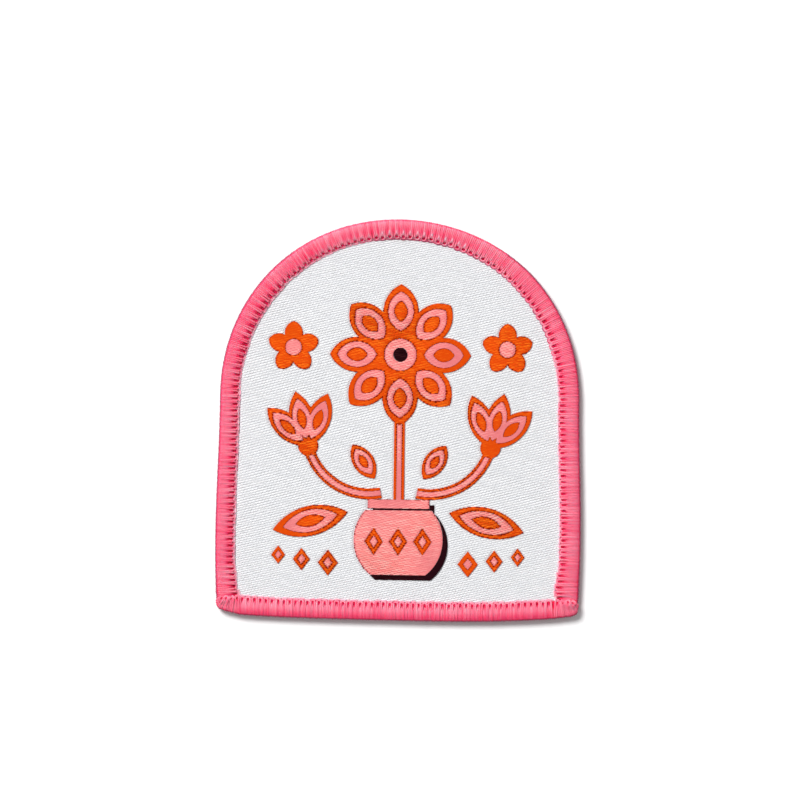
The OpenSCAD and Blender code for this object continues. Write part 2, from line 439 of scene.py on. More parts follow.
@dataclass
class Outline:
    """The patch's outline, in millimetres. A line round it lies at a distance out from the
    edging's inner side: 0 is that side and band_w the outer rim.

    A lower corner is nearly square, but draws in towards its tip: side_lean and foot_lean are the
    shares that it has lost there, for the left corner and the right one. The arch leans to the left
    by arch_lean, and its right shoulder is flatter by arch_flat.
    """

    patch_w: float
    patch_h: float
    spring_w: float = 68.0
    widest_h: float = 16.0
    bottom_rise: float = 1.15
    foot_lift: float = 0.12
    foot_wave: float = 0.1
    arch_square: float = 2.07
    arch_lean: float = 0.08
    arch_flat: float = 0.16
    corner_square: float = 9.0
    side_lean: tuple[float, float] = (0.06, 0.07)
    foot_lean: tuple[float, float] = (0.27, 0.15)
    band_w: float = 4.1
    bottom_band_w: float = 3.8
    inner_corner_r: float = 0.5
    arch_steps: int = 192
    side_steps: int = 64
    corner_steps: int = 32
    bottom_steps: int = 96

    def __post_init__(self) -> None:
        """Work out the places that follow from the sizes."""
        self.bottom_y = -self.patch_h / 2
        self.arch_r = self.spring_w / 2
        self.arch_y = self.patch_h / 2 - self.arch_r
        self.widest_y = self.bottom_y + self.widest_h
        inside = 1 - 2 * (self.band_w + self.inner_corner_r) / self.patch_w
        self.corner_rise = self.foot_lift + self.bottom_rise * inside ** 3
        self.corner_y = self.bottom_y + self.bottom_band_w + self.inner_corner_r + self.corner_rise
        self.corner_x = self.half_width(self.corner_y) - self.band_w - self.inner_corner_r

    def half_width(self, y: Any) -> Any:
        """Half the width over the edging at height y, below the arch."""
        turn = math.pi * (y - self.widest_y) / (self.arch_y - self.widest_y)
        return self.patch_w / 2 - (self.patch_w - self.spring_w) / 4 * (1 - np.cos(turn))

    def rise(self, x: Any) -> Any:
        """The bottom edge's rise, which is a little less on the right than on the left.

        Args:
            x: Places across, in millimetres.

        Returns:
            The rise at each place.
        """
        across = np.abs(x) / (self.patch_w / 2)
        wave = self.foot_wave * np.sin(math.pi * np.clip(x / self.corner_x, -1, 1))
        return self.foot_lift + self.bottom_rise * across ** 3 - wave

    def down(self, out: float) -> float:
        """Distance below the inner side on the narrower band along the bottom."""
        return out * self.bottom_band_w / self.band_w

    @staticmethod
    def squircle(angle: np.ndarray, rx: float, ry: float, squareness: float) -> Points:
        """Points on a rounded square, where squareness 2 is an ellipse.

        Args:
            angle: Angles round it, in radians.
            rx: Half its width.
            ry: Half its height.
            squareness: How square it is.

        Returns:
            One row of x and y for each angle.
        """
        across, up = np.cos(angle), np.sin(angle)
        reach = (np.abs(across) ** squareness + np.abs(up) ** squareness) ** (-1 / squareness)
        return np.column_stack([rx * reach * across, ry * reach * up])

    def long_way(self, out: float) -> Points:
        """The line's run up the right side, over the arch and down the left side.

        Args:
            out: Distance from the edging's inner side, in millimetres.

        Returns:
            One row of x and y for each station.
        """
        up_y = np.linspace(self.corner_y, self.arch_y, self.side_steps, endpoint=False)
        right = np.column_stack([self.half_width(up_y) - self.band_w + out, up_y])
        r = self.arch_r - self.band_w + out
        angle = np.linspace(0, math.pi, self.arch_steps, endpoint=False)
        arch = self.squircle(angle, r, r, self.arch_square)
        flat = self.arch_flat * np.minimum(np.sin(4 * angle), 0) * (angle < math.pi / 2)
        arch *= (1 + (flat - self.arch_lean * np.sin(2 * angle)) / self.arch_r)[:, None]
        arch[:, 1] += self.arch_y
        down_y = np.linspace(self.arch_y, self.corner_y, self.side_steps, endpoint=False)
        left = np.column_stack([-(self.half_width(down_y) - self.band_w + out), down_y])
        return np.vstack([right, arch, left])

    def foot(self, out: float) -> Points:
        """The line's run along the bottom, from left to right.

        Args:
            out: Distance from the edging's inner side, in millimetres.

        Returns:
            One row of x and y for each station.
        """
        x = np.linspace(-self.corner_x, self.corner_x, self.bottom_steps, endpoint=False)
        y = self.corner_y - self.inner_corner_r - self.corner_rise + self.rise(x) - self.down(out)
        return np.column_stack([x, y])

    def corner(self, side: int, out: float) -> Points:
        """The line's run round a lower corner, anticlockwise.

        Args:
            side: -1 for the left corner, 1 for the right one.
            out: Distance from the edging's inner side, in millimetres.

        Returns:
            One row of x and y for each station.
        """
        first, number = (math.pi, 0) if side < 0 else (1.5 * math.pi, 1)
        angle = np.linspace(first, first + math.pi / 2, self.corner_steps, endpoint=False)
        near_rim = max(out, 0.0) / self.band_w
        r = self.inner_corner_r
        flat = self.squircle(angle, 1.0, 1.0, mix(2.0, self.corner_square, near_rim))
        across, down = np.abs(flat).T
        flat[:, 0] *= (r + out) * (1 - near_rim * self.side_lean[number] * down)
        flat[:, 1] *= (r + self.down(out)) * (1 - near_rim * self.foot_lean[number] * across)
        return flat + (side * self.corner_x, self.corner_y)

    def rim(self, out: float) -> Points:
        """The whole line at a distance out, anticlockwise, with its first station not repeated."""
        return np.vstack([self.long_way(out), self.corner(-1, out), self.foot(out), self.corner(1, out)])

    def inside(self, x: np.ndarray, y: np.ndarray, out: float) -> np.ndarray:
        """Whether points lie within a line round the patch.

        Args:
            x: Places across.
            y: Places up.
            out: The line's distance from the edging's inner side.

        Returns:
            True for each point that lies within.
        """
        r = self.arch_r - self.band_w + out
        power = self.arch_square
        arch = (np.abs(x) / r) ** power + (np.abs(y - self.arch_y) / r) ** power < 1
        foot = self.corner_y - self.inner_corner_r - self.corner_rise + self.rise(x) - self.down(out)
        body = (np.abs(x) < self.half_width(np.minimum(y, self.arch_y)) - self.band_w + out) & (y > foot)
        return np.where(y > self.arch_y, arch, body)


@dataclass(frozen=True)
class ChartShape:
    """A flat shape on the chart, placed at x and y and turned by an angle in degrees."""

    x: float
    y: float
    angle: float = 0.0

    def local(self, x: np.ndarray, y: np.ndarray) -> tuple[np.ndarray, np.ndarray]:
        """Places as the shape sees them.

        Args:
            x: Places across the chart.
            y: Places up the chart.

        Returns:
            Places along the shape and across it.
        """
        turn = math.radians(self.angle)
        dx, dy = x - self.x, y - self.y
        return dx * math.cos(turn) + dy * math.sin(turn), dy * math.cos(turn) - dx * math.sin(turn)

    def holds(self, x: np.ndarray, y: np.ndarray) -> np.ndarray:
        """Whether the shape holds each point."""
        raise NotImplementedError


@dataclass(frozen=True)
class Disc(ChartShape):
    """A round."""

    r: float = 1.0

    def holds(self, x: np.ndarray, y: np.ndarray) -> np.ndarray:
        """Whether the round holds each point."""
        return np.hypot(x - self.x, y - self.y) < self.r


@dataclass(frozen=True)
class Block(ChartShape):
    """An upright rectangle with its lower left corner at x and y."""

    width: float = 1.0
    height: float = 1.0

    def holds(self, x: np.ndarray, y: np.ndarray) -> np.ndarray:
        """Whether the rectangle holds each point."""
        across, up = x - self.x, y - self.y
        return (across > 0) & (across < self.width) & (up > 0) & (up < self.height)


@dataclass(frozen=True)
class Lozenge(ChartShape):
    """A diamond with points to the sides, up and down."""

    across: float = 1.0
    up: float = 1.0

    def holds(self, x: np.ndarray, y: np.ndarray) -> np.ndarray:
        """Whether the diamond holds each point."""
        return np.abs(x - self.x) / (self.across / 2) + np.abs(y - self.y) / (self.up / 2) < 1


@dataclass(frozen=True)
class PointedOval(ChartShape):
    """A petal or leaf: two arcs that meet in points, from root to root plus length. A share
    under 1 gives a smaller one in its middle."""

    root: float = 0.0
    length: float = 1.0
    width: float = 1.0
    share: float = 1.0

    def holds(self, x: np.ndarray, y: np.ndarray) -> np.ndarray:
        """Whether the oval holds each point.

        Args:
            x: Places across the chart.
            y: Places up the chart.

        Returns:
            True for each point that it holds.
        """
        along, across = self.local(x, y)
        middle = along - self.root - self.length / 2
        long, wide = self.length * self.share, self.width * self.share
        r = (long * long + wide * wide) / (4 * wide)
        lift = r - wide / 2
        return (np.hypot(middle, across + lift) < r) & (np.hypot(middle, across - lift) < r)


@dataclass(frozen=True)
class ArcBand(ChartShape):
    """A curved stem: part of a ring round x and y, from the angle onwards."""

    r: float = 1.0
    width: float = 1.0
    turn: float = 90.0

    def holds(self, x: np.ndarray, y: np.ndarray) -> np.ndarray:
        """Whether the band holds each point.

        Args:
            x: Places across the chart.
            y: Places up the chart.

        Returns:
            True for each point that it holds.
        """
        along, across = self.local(x, y)
        at = np.degrees(np.arctan2(across, along))
        return (np.abs(np.hypot(along, across) - self.r) < self.width / 2) & (at > 0) & (at < self.turn)


@dataclass
class FlowerChart:
    """The picture that is woven into the cloth: flowers in a vase, in millimetres from the
    patch's middle. It repeats the sizes of the part's raised colours."""

    flower_at: tuple[float, float] = (0.0, 12.4)
    petal_count: int = 8
    petal_root: float = 3.1
    petal_len: float = 10.2
    petal_w: float = 6.6
    flower_base_r: float = 4.8
    heart_r: float = 3.0
    eye_r: float = 1.3
    tulip_at: tuple[float, float] = (17.2, -5.0)
    tulip_len: float = 10.5
    tulip_w: float = 4.6
    tulip_fan: float = 34.0
    tulip_lean: float = 14.0
    calyx_r: float = 1.9
    blossom_at: tuple[float, float] = (20.2, 13.6)
    blossom_count: int = 5
    blossom_root: float = 0.5
    blossom_len: float = 4.4
    blossom_w: float = 3.4
    blossom_heart_r: float = 1.5
    stem_w: float = 2.0
    stem_line_w: float = 0.9
    stem_foot_x: float = 3.4
    stem_rest: float = 0.3
    vase_at: tuple[float, float] = (0.0, -22.6)
    vase_r: float = 8.4
    vase_foot: float = -6.6
    vase_shoulder: float = 5.6
    lip_w: float = 11.6
    lip_h: float = 1.6
    lip_gap: float = 0.4
    shadow_shift: float = 0.95
    line_outer: float = 0.72
    line_inner: float = 0.4
    lozenge_heart: float = 0.42
    contour_w: float = 0.25
    outline_w: float = 0.16
    vase_lozenge_pitch: float = 4.6
    vase_lozenge: tuple[float, float] = (3.4, 5.2)
    vase_lozenge_drop: float = 0.3
    leaves: tuple[tuple[float, float, float, float, float], ...] = (
        # x      y      angle  length  width
        (9.6,   -17.4,  -14.0,  14.5,   5.6),
        (4.6,   -11.0,   56.0,  7.6,    4.0),
    )
    foot_lozenges: tuple[tuple[float, float, float, float], ...] = (
        # x      y      across  up
        (13.2,  -27.0,  3.8,    4.9),
        (18.2,  -26.4,  3.2,    4.2),
        (22.6,  -25.6,  2.6,    3.4),
    )

    def __post_init__(self) -> None:
        """Place the shapes of each colour."""
        self.lip_top = self.vase_at[1] + self.vase_shoulder + self.lip_gap + self.lip_h
        petals = self._petals(1.0)
        self.flower = [*petals, Disc(*self.flower_at, r=self.flower_base_r)]
        self.calyxes = [Disc(side * self.tulip_at[0], self.tulip_at[1], r=self.calyx_r) for side in (-1, 1)]
        self.orange = [
            *self.flower, *self.calyxes, *self._tulips(1.0), *self._leaves(1.0), *self._blossoms(),
            *self._stems(self.stem_w),
        ]
        self.line_outsides = [
            *self._petals(self.line_outer), *self._tulips(self.line_outer), *self._leaves(self.line_outer),
        ]
        self.line_insides = [
            *self._petals(self.line_inner), *self._tulips(self.line_inner), *self._leaves(self.line_inner),
        ]
        self.hearts = [
            Disc(*self.flower_at, r=self.heart_r),
            *[
                Disc(side * self.blossom_at[0], self.blossom_at[1], r=self.blossom_heart_r)
                for side in (-1, 1)
            ],
        ]
        self.stem_lines = self._stems(self.stem_line_w)

    def _petals(self, share: float) -> list[ChartShape]:
        """The large flower's petals.

        Args:
            share: The share of their full size.

        Returns:
            The petals.
        """
        return [
            PointedOval(*self.flower_at, 90 + 360 * k / self.petal_count,
                        self.petal_root, self.petal_len, self.petal_w, share)
            for k in range(self.petal_count)
        ]

    def _tulips(self, share: float) -> list[ChartShape]:
        """The tulips' petals on both sides.

        Args:
            share: The share of their full size.

        Returns:
            The petals.
        """
        return [
            PointedOval(side * self.tulip_at[0], self.tulip_at[1], 90 - side * (self.tulip_lean + turn),
                        0.0, self.tulip_len, self.tulip_w, share)
            for side in (-1, 1)
            for turn in (-self.tulip_fan, 0.0, self.tulip_fan)
        ]

    def _leaves(self, share: float) -> list[ChartShape]:
        """The leaves on both sides.

        Args:
            share: The share of their full size.

        Returns:
            The leaves.
        """
        return [
            PointedOval(side * x, y, angle if side > 0 else 180 - angle, 0.0, length, width, share)
            for side in (-1, 1)
            for x, y, angle, length, width in self.leaves
        ]

    def _blossoms(self) -> list[ChartShape]:
        """The small blossoms' petals on both sides.

        Returns:
            The petals.
        """
        return [
            PointedOval(side * self.blossom_at[0], self.blossom_at[1],
                        90 + side * 360 * k / self.blossom_count,
                        self.blossom_root, self.blossom_len, self.blossom_w)
            for side in (-1, 1)
            for k in range(self.blossom_count)
        ]

    def _stems(self, width: float) -> list[ChartShape]:
        """The upright stem and the two curved ones.

        Args:
            width: Width of the stems.

        Returns:
            The stems' shapes.
        """
        top = self.flower_at[1] - self.flower_base_r / 2
        stems: list[ChartShape] = [Block(-width / 2, self.lip_top, width=width, height=top - self.lip_top)]
        foot = (self.stem_foot_x, self.lip_top + self.stem_w / 2 + self.stem_rest)
        run = (self.tulip_at[0] - foot[0], self.tulip_at[1] - foot[1])
        chord_angle = math.degrees(math.atan2(run[1], run[0]))
        half_turn = 90 - self.tulip_lean - chord_angle
        r = math.hypot(*run) / (2 * math.sin(math.radians(half_turn)))
        to_middle = math.radians(chord_angle - half_turn + 90)
        x, y = foot[0] + r * math.cos(to_middle), foot[1] + r * math.sin(to_middle)
        first = chord_angle - half_turn - 90
        stems.append(ArcBand(x, y, first, r, width, 2 * half_turn))
        stems.append(ArcBand(-x, y, 180 - first - 2 * half_turn, r, width, 2 * half_turn))
        return stems

    @staticmethod
    def _any(shapes: Sequence[ChartShape], x: np.ndarray, y: np.ndarray) -> np.ndarray:
        """Whether any of the shapes holds each point.

        Args:
            shapes: The shapes.
            x: Places across the chart.
            y: Places up the chart.

        Returns:
            True for each point that one of them holds.
        """
        held = np.zeros(x.shape, bool)
        for shape in shapes:
            held |= shape.holds(x, y)
        return held

    def _vase(self, x: np.ndarray, y: np.ndarray) -> np.ndarray:
        """Whether the vase or its lip holds each point.

        Args:
            x: Places across the chart.
            y: Places up the chart.

        Returns:
            True for each point on the vase.
        """
        across, up = x - self.vase_at[0], y - self.vase_at[1]
        belly = (np.hypot(across, up) < self.vase_r) & (up > self.vase_foot) & (up < self.vase_shoulder)
        lip_foot = self.vase_shoulder + self.lip_gap
        return belly | ((np.abs(across) < self.lip_w / 2) & (up > lip_foot) & (up < lip_foot + self.lip_h))

    def _lozenges(self, share: float) -> list[ChartShape]:
        """The lozenges on the vase and along the foot.

        Args:
            share: The share of their full size.

        Returns:
            The lozenges.
        """
        on_vase = [
            Lozenge(k * self.vase_lozenge_pitch, self.vase_at[1] - self.vase_lozenge_drop,
                    across=self.vase_lozenge[0] * share, up=self.vase_lozenge[1] * share)
            for k in (-1, 0, 1)
        ]
        at_foot = [
            Lozenge(side * x, y, across=across * share, up=up * share)
            for side in (-1, 1)
            for x, y, across, up in self.foot_lozenges
        ]
        return [*on_vase, *at_foot]

    def shades(self, x: np.ndarray, y: np.ndarray) -> np.ndarray:
        """The chart's colour at each point.

        Args:
            x: Places across, in millimetres.
            y: Places up, in millimetres.

        Returns:
            The value of a Shade for each point.
        """
        stem_lines = self._any(self.stem_lines, x, y) & ~self._any([*self.flower, *self.calyxes], x, y)
        lines = self._any(self.line_outsides, x, y) & ~self._any(self.line_insides, x, y)
        shift = self.shadow_shift
        vase = self._vase(x, y)
        chart = np.full(x.shape, Shade.WHITE.value)
        chart[self._any(self.orange, x, y)] = Shade.ORANGE.value
        chart[lines | stem_lines | self._any(self.hearts, x, y)] = Shade.PINK.value
        chart[Disc(*self.flower_at, r=self.eye_r).holds(x, y)] = Shade.PLUM.value
        chart[self._vase(x - shift, y + shift)] = Shade.PLUM.value
        chart[vase] = Shade.PINK.value
        chart[self._any(self._lozenges(1.0), x, y)] = Shade.ORANGE.value
        chart[self._any(self._lozenges(self.lozenge_heart), x, y)] = Shade.PINK.value
        return chart

    def contours(self, x: np.ndarray, y: np.ndarray, chart: np.ndarray) -> np.ndarray:
        """Where a dark thread follows the edge of a coloured shape, just inside it.

        Args:
            x: Places across, in millimetres.
            y: Places up, in millimetres.
            chart: The chart's colours there.

        Returns:
            True where the dark thread shows.
        """
        near_pink = np.zeros(chart.shape, bool)
        near_white = np.zeros(chart.shape, bool)
        for turn in np.arange(8) * math.pi / 4:
            across, up = math.cos(turn), math.sin(turn)
            beside = self.shades(x + self.contour_w * across, y + self.contour_w * up)
            near_pink |= beside == Shade.PINK.value
            beside = self.shades(x + self.outline_w * across, y + self.outline_w * up)
            near_white |= beside == Shade.WHITE.value
        orange, pink = chart == Shade.ORANGE.value, chart == Shade.PINK.value
        return (orange & (near_pink | near_white)) | (pink & near_white)


def undulation(x: np.ndarray, y: np.ndarray) -> np.ndarray:
    """How far the cloth's face lies above or below its plane, in millimetres: slow waves.

    Args:
        x: Places across, in millimetres.
        y: Places up, in millimetres.

    Returns:
        The height at each place.
    """
    waves = (
        # height  per x   per y   start
        (0.030,   0.21,   0.13,   0.4),
        (0.024,  -0.11,   0.29,   1.9),
        (0.018,   0.37,  -0.17,   3.1),
        (0.012,   0.08,   0.53,   5.0),
    )
    return sum(height * np.sin(x * per_x + y * per_y + start) for height, per_x, per_y, start in waves)


def make_piece(
    name: str,
    mesh: bpy.types.Mesh,
    material: bpy.types.Material | None = None,
) -> bpy.types.Object:
    """Put a mesh in the scene as a piece.

    Args:
        name: The piece's name.
        mesh: Its mesh, in metres and in the patch's frame.
        material: Its material, where the mesh has none yet.

    Returns:
        The piece.
    """
    piece = bpy.data.objects.new(name, mesh)
    bpy.context.scene.collection.objects.link(piece)
    if material is not None:
        mesh.materials.clear()
        mesh.materials.append(material)
    return piece


def mesh_from(
    name: str,
    points: Points,
    edges: Sequence[Sequence[int]],
    faces: Sequence[Sequence[int]],
    values: dict[str, np.ndarray] | None = None,
) -> bpy.types.Mesh:
    """Make a mesh from points in millimetres.

    Args:
        name: The mesh's name.
        points: One row of x, y and z for each point.
        edges: Pairs of point numbers.
        faces: Lists of point numbers.
        values: Named attributes, with a number or a row of three for each point.

    Returns:
        The mesh, in metres.
    """
    mesh = bpy.data.meshes.new(name)
    mesh.from_pydata((np.asarray(points) * MM).tolist(), edges, faces)
    for key, numbers in (values or {}).items():
        numbers = np.asarray(numbers, dtype=np.float32)
        kind, part = ("FLOAT", "value") if numbers.ndim == 1 else ("FLOAT_VECTOR", "vector")
        mesh.attributes.new(key, kind, "POINT").data.foreach_set(part, numbers.ravel())
    mesh.update()
    return mesh


def run_geometry(
    name: str,
    source: bpy.types.Mesh,
    tree: bpy.types.NodeTree,
    inputs: dict[str, Any],
) -> bpy.types.Mesh:
    """Run a geometry tree on a mesh and keep the result as a plain mesh.

    Args:
        name: The result's name.
        source: The mesh that the tree starts from.
        tree: The geometry tree.
        inputs: Values of the tree's inputs, by name.

    Returns:
        The plain mesh.
    """
    carrier = bpy.data.objects.new(f"{name}_source", source)
    bpy.context.scene.collection.objects.link(carrier)
    modifier = carrier.modifiers.new("layout", "NODES")
    modifier.node_group = tree
    for item in tree.interface.items_tree:
        if item.item_type == "SOCKET" and item.in_out == "INPUT" and item.name in inputs:
            modifier[item.identifier] = inputs[item.name]
    carrier.update_tag()
    depsgraph = bpy.context.evaluated_depsgraph_get()
    depsgraph.update()
    result = bpy.data.meshes.new_from_object(
        carrier.evaluated_get(depsgraph), preserve_all_data_layers=True, depsgraph=depsgraph)
    result.name = name
    carrier.modifiers.clear()
    bpy.data.objects.remove(carrier)
    return result


def geometry_tree(name: str, sockets: dict[str, str]) -> tuple[Graph, bpy.types.Node]:
    """Start a geometry tree with named inputs.

    Args:
        name: The tree's name.
        sockets: The inputs' names and socket types, besides the geometry.

    Returns:
        The graph and its Group Input node.
    """
    tree = bpy.data.node_groups.new(name, "GeometryNodeTree")
    tree.interface.new_socket("Geometry", in_out="INPUT", socket_type="NodeSocketGeometry")
    for label, kind in sockets.items():
        tree.interface.new_socket(label, in_out="INPUT", socket_type=kind)
    tree.interface.new_socket("Geometry", in_out="OUTPUT", socket_type="NodeSocketGeometry")
    graph = Graph(tree)
    return graph, graph.add("NodeGroupInput")


def pick_tree() -> bpy.types.NodeTree:
    """Make the tree that lays one pick at each point of a mesh.

    The points carry size, a vector by which the pick is scaled, and turn, its turn in radians.

    Returns:
        The geometry tree.
    """
    graph, given = geometry_tree("lay_picks", {
        "Pick": "NodeSocketObject",
        "Seed": "NodeSocketInt",
        "Thread": "NodeSocketMaterial",
    })
    pick = graph.add("GeometryNodeObjectInfo", None, {"Object": graph.out(given, "Pick")})
    size = graph.add("GeometryNodeInputNamedAttribute", {"data_type": "FLOAT_VECTOR"}, {"Name": "size"})
    turn = graph.add("GeometryNodeInputNamedAttribute", {"data_type": "FLOAT_VECTOR"}, {"Name": "turn"})
    laid = graph.add("GeometryNodeInstanceOnPoints", None, {
        "Points": graph.out(given, "Geometry"),
        "Instance": graph.out(pick, "Geometry"),
        "Rotation": graph.out(turn, "Attribute"),
        "Scale": graph.out(size, "Attribute"),
    })
    luck = graph.add("FunctionNodeRandomValue", {"data_type": "FLOAT"}, {
        "Min": 0.0, "Max": 1.0, "Seed": graph.out(given, "Seed")})
    shaded = graph.add("GeometryNodeStoreNamedAttribute", {"data_type": "FLOAT", "domain": "INSTANCE"}, {
        "Geometry": graph.out(laid), "Name": "shade", "Value": graph.out(luck, "Value")})
    real = graph.add("GeometryNodeRealizeInstances", None, {"Geometry": graph.out(shaded)})
    dressed = graph.add("GeometryNodeSetMaterial", None, {
        "Geometry": graph.out(real), "Material": graph.out(given, "Thread")})
    graph.add("NodeGroupOutput", None, {"Geometry": graph.out(dressed)})
    return graph.tree


def thread_tree() -> bpy.types.NodeTree:
    """Make the tree that runs a round thread along each chain of edges.

    The points carry thickness, a share of the thread's radius, along, in millimetres, and shade.

    Returns:
        The geometry tree.
    """
    graph, given = geometry_tree("run_threads", {
        "Radius": "NodeSocketFloat",
        "Sides": "NodeSocketInt",
        "Thread": "NodeSocketMaterial",
    })
    thickness = graph.add("GeometryNodeInputNamedAttribute", {"data_type": "FLOAT"}, {"Name": "thickness"})
    paths = graph.add("GeometryNodeMeshToCurve", None, {"Mesh": graph.out(given, "Geometry")})
    ring = graph.add("GeometryNodeCurvePrimitiveCircle", None, {
        "Resolution": graph.out(given, "Sides"), "Radius": graph.out(given, "Radius")})
    place = graph.add("GeometryNodeInputPosition")
    parts = graph.add("ShaderNodeSeparateXYZ", None, {0: graph.out(place)})
    ring_x = graph.add("GeometryNodeStoreNamedAttribute", {"data_type": "FLOAT", "domain": "POINT"}, {
        "Geometry": graph.out(ring), "Name": "around_x", "Value": graph.out(parts, "X") * (1 / MM)})
    ring_y = graph.add("GeometryNodeStoreNamedAttribute", {"data_type": "FLOAT", "domain": "POINT"}, {
        "Geometry": graph.out(ring_x), "Name": "around_y", "Value": graph.out(parts, "Y") * (1 / MM)})
    tube = graph.add("GeometryNodeCurveToMesh", None, {
        "Curve": graph.out(paths),
        "Profile Curve": graph.out(ring_y),
        "Scale": graph.out(thickness, "Attribute"),
        "Fill Caps": True,
    })
    smooth = graph.add("GeometryNodeSetShadeSmooth", None, {
        "Geometry": graph.out(tube), "Shade Smooth": True})
    real = graph.add("GeometryNodeRealizeInstances", None, {"Geometry": graph.out(smooth)})
    dressed = graph.add("GeometryNodeSetMaterial", None, {
        "Geometry": graph.out(real), "Material": graph.out(given, "Thread")})
    graph.add("NodeGroupOutput", None, {"Geometry": graph.out(dressed)})
    return graph.tree


@dataclass
class WovenCloth:
    """The cloth: a thin sheet, and on it the picks of weft that float over seven ends at a time.
    The picks are pick_mm apart in the middle and end_pick_mm towards the top and the bottom."""

    outline: Outline
    chart: FlowerChart
    cloth_t: float
    weft_t: float
    end_mm: float = 0.225
    pick_mm: float = 0.181
    end_pick_mm: float = 0.158
    repeat: int = 8
    move: int = 3
    pick_t: float = 0.12
    under_loops: float = 0.5
    contour_share: float = 0.6
    seed: int = 11
    pieces: list[bpy.types.Object] = field(default_factory=list)

    # The picks lie pick_mm apart up to the first height from the middle, and come closer over the
    # second one, till they lie end_pick_mm apart
    closer: tuple[float, float] = (8.0, 20.0)

    # How far the picks stray across, up and in height, how far they turn, in radians, and how their
    # width and thickness vary. None is shorter than least_pick, as a share of end_mm
    stray: tuple[float, float, float] = (0.015, 0.008, 0.006)
    stray_turn: float = 0.012
    width_range: tuple[float, float] = (0.98, 1.12)
    thickness_range: tuple[float, float] = (0.9, 1.1)
    least_pick: float = 0.7

    # The sheet lies sheet_drop under the cloth's face and reaches to sheet_short from the rim. Its
    # rings shrink towards a place middle_drop under the arch's foot. Its back lies back_z up, and
    # edge_back_z over the thread under the cloth's edge, where the rings are over edge_share
    sheet_drop: float = 0.05
    sheet_short: float = 1.2
    middle_drop: float = 12.0
    back_z: float = 0.02
    edge_back_z: float = 0.45
    edge_share: float = 0.95

    def build(self) -> None:
        """Make the sheet and the picks of each colour."""
        picks = self._runs()
        tree = pick_tree()
        pick = self._pick_shape()
        table = {
            # shade          name             finish         slot            raised             dip
            Shade.WHITE:    ("white_picks",   WHITE_PICK,    "white_weave",  0.0,               0.42),
            Shade.ORANGE:   ("orange_picks",  ORANGE_PICK,   "orange_weave", self.weft_t,       0.30),
            Shade.PINK:     ("pink_picks",    PINK_PICK,     "pink_weave",   self.weft_t,       0.26),
            Shade.PLUM:     ("plum_picks",    PLUM_PICK,     "plum_weave",   self.weft_t,       0.30),
            Shade.CONTOUR:  ("contour_picks", CONTOUR_PICK,  "plum_weave",   self.weft_t * 1.1, 0.0),
        }
        for shade, (name, finish, slot, raised, dip) in table.items():
            rows = picks[picks[:, 3] == shade.value]
            material = finish.material()
            layers = [rows]
            if shade is Shade.WHITE:
                layers = [rows[rows[:, 1] < self.outline.arch_y], rows[rows[:, 1] >= self.outline.arch_y]]
            for number, layer in enumerate(layers):
                label = name if len(layers) == 1 else f"{name}_{number + 1}"
                mesh = self._lay(label, layer, raised, dip, tree, pick, material)
                piece = make_piece(label, mesh)
                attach(piece, "root")
                self.pieces.append(piece)
                log.info("%s: %d picks, %d triangles", label, len(layer), len(mesh.polygons))
        bpy.data.objects.remove(pick)
        self._dress_plates()
        self._sheet()

    def _runs(self) -> np.ndarray:
        """Cut each pick where an end binds it and where its colour changes.

        Returns:
            One row for each run: middle x, y, length in millimetres, and the value of its Shade.
        """
        line = self.outline
        half_w = line.patch_w / 2
        columns = np.arange(-math.ceil(half_w / self.end_mm), math.ceil(half_w / self.end_mm))
        upper = [self.pick_mm / 2]
        while upper[-1] < line.patch_h / 2:
            upper.append(upper[-1] + self._pitch(upper[-1]))
        heights = np.concatenate([-np.array(upper[::-1]), upper])
        rows = np.arange(len(heights))
        x, y = np.meshgrid((columns + 0.5) * self.end_mm, heights)
        chart = self.chart.shades(x, y)
        order = (columns[None, :] - self.move * rows[:, None]) % self.repeat
        bound = self.chart.contours(x, y, chart) & (order < self.contour_share * self.repeat)
        chart = np.where(bound, Shade.CONTOUR.value, chart)
        within = line.inside(x, y, self.under_loops)
        runs = []
        for row in range(len(rows)):
            start = 0
            for column in range(1, len(columns) + 1):
                ends = column == len(columns) or chart[row, column] != chart[row, start]
                ends = ends or order[row, column] == 0 or within[row, column] != within[row, start]
                if ends:
                    if within[row, start]:
                        middle = (columns[start] + columns[column - 1] + 1) / 2 * self.end_mm
                        runs.append((middle, y[row, 0], (column - start) * self.end_mm, chart[row, start]))
                    start = column
        return np.array(runs)

    def _pitch(self, y: Any) -> Any:
        """Distance between picks at height y."""
        start, reach = self.closer
        return mix(self.pick_mm, self.end_pick_mm, ease((np.abs(y) - start) / reach))

    def _pick_shape(self) -> bpy.types.Object:
        """Make one pick a unit long, wide and high: thread that rises from the cloth and dips again.

        Returns:
            The pick, which only the tree uses.
        """
        rings = (-0.36, 0.0, 0.36)
        tops = (0.84, 1.0, 0.84)
        points = [(-0.5, 0.0, 0.1)]
        for x, top in zip(rings, tops):
            points += [(x, -0.5, 0.15), (x, 0.0, top), (x, 0.5, 0.15)]
        points.append((0.5, 0.0, 0.1))
        last = len(points) - 1
        faces: list[tuple[int, ...]] = []
        for k in range(3):
            after = (k + 1) % 3
            faces.append((0, 1 + k, 1 + after))
            for low in (1, 4):
                high = low + 3
                faces.append((low + k, high + k, high + after, low + after))
            faces.append((last, last - 3 + after, last - 3 + k))
        mesh = bpy.data.meshes.new("pick")
        mesh.from_pydata(points, [], faces)
        mesh.shade_smooth()
        pick = bpy.data.objects.new("pick", mesh)
        bpy.context.scene.collection.objects.link(pick)
        return pick

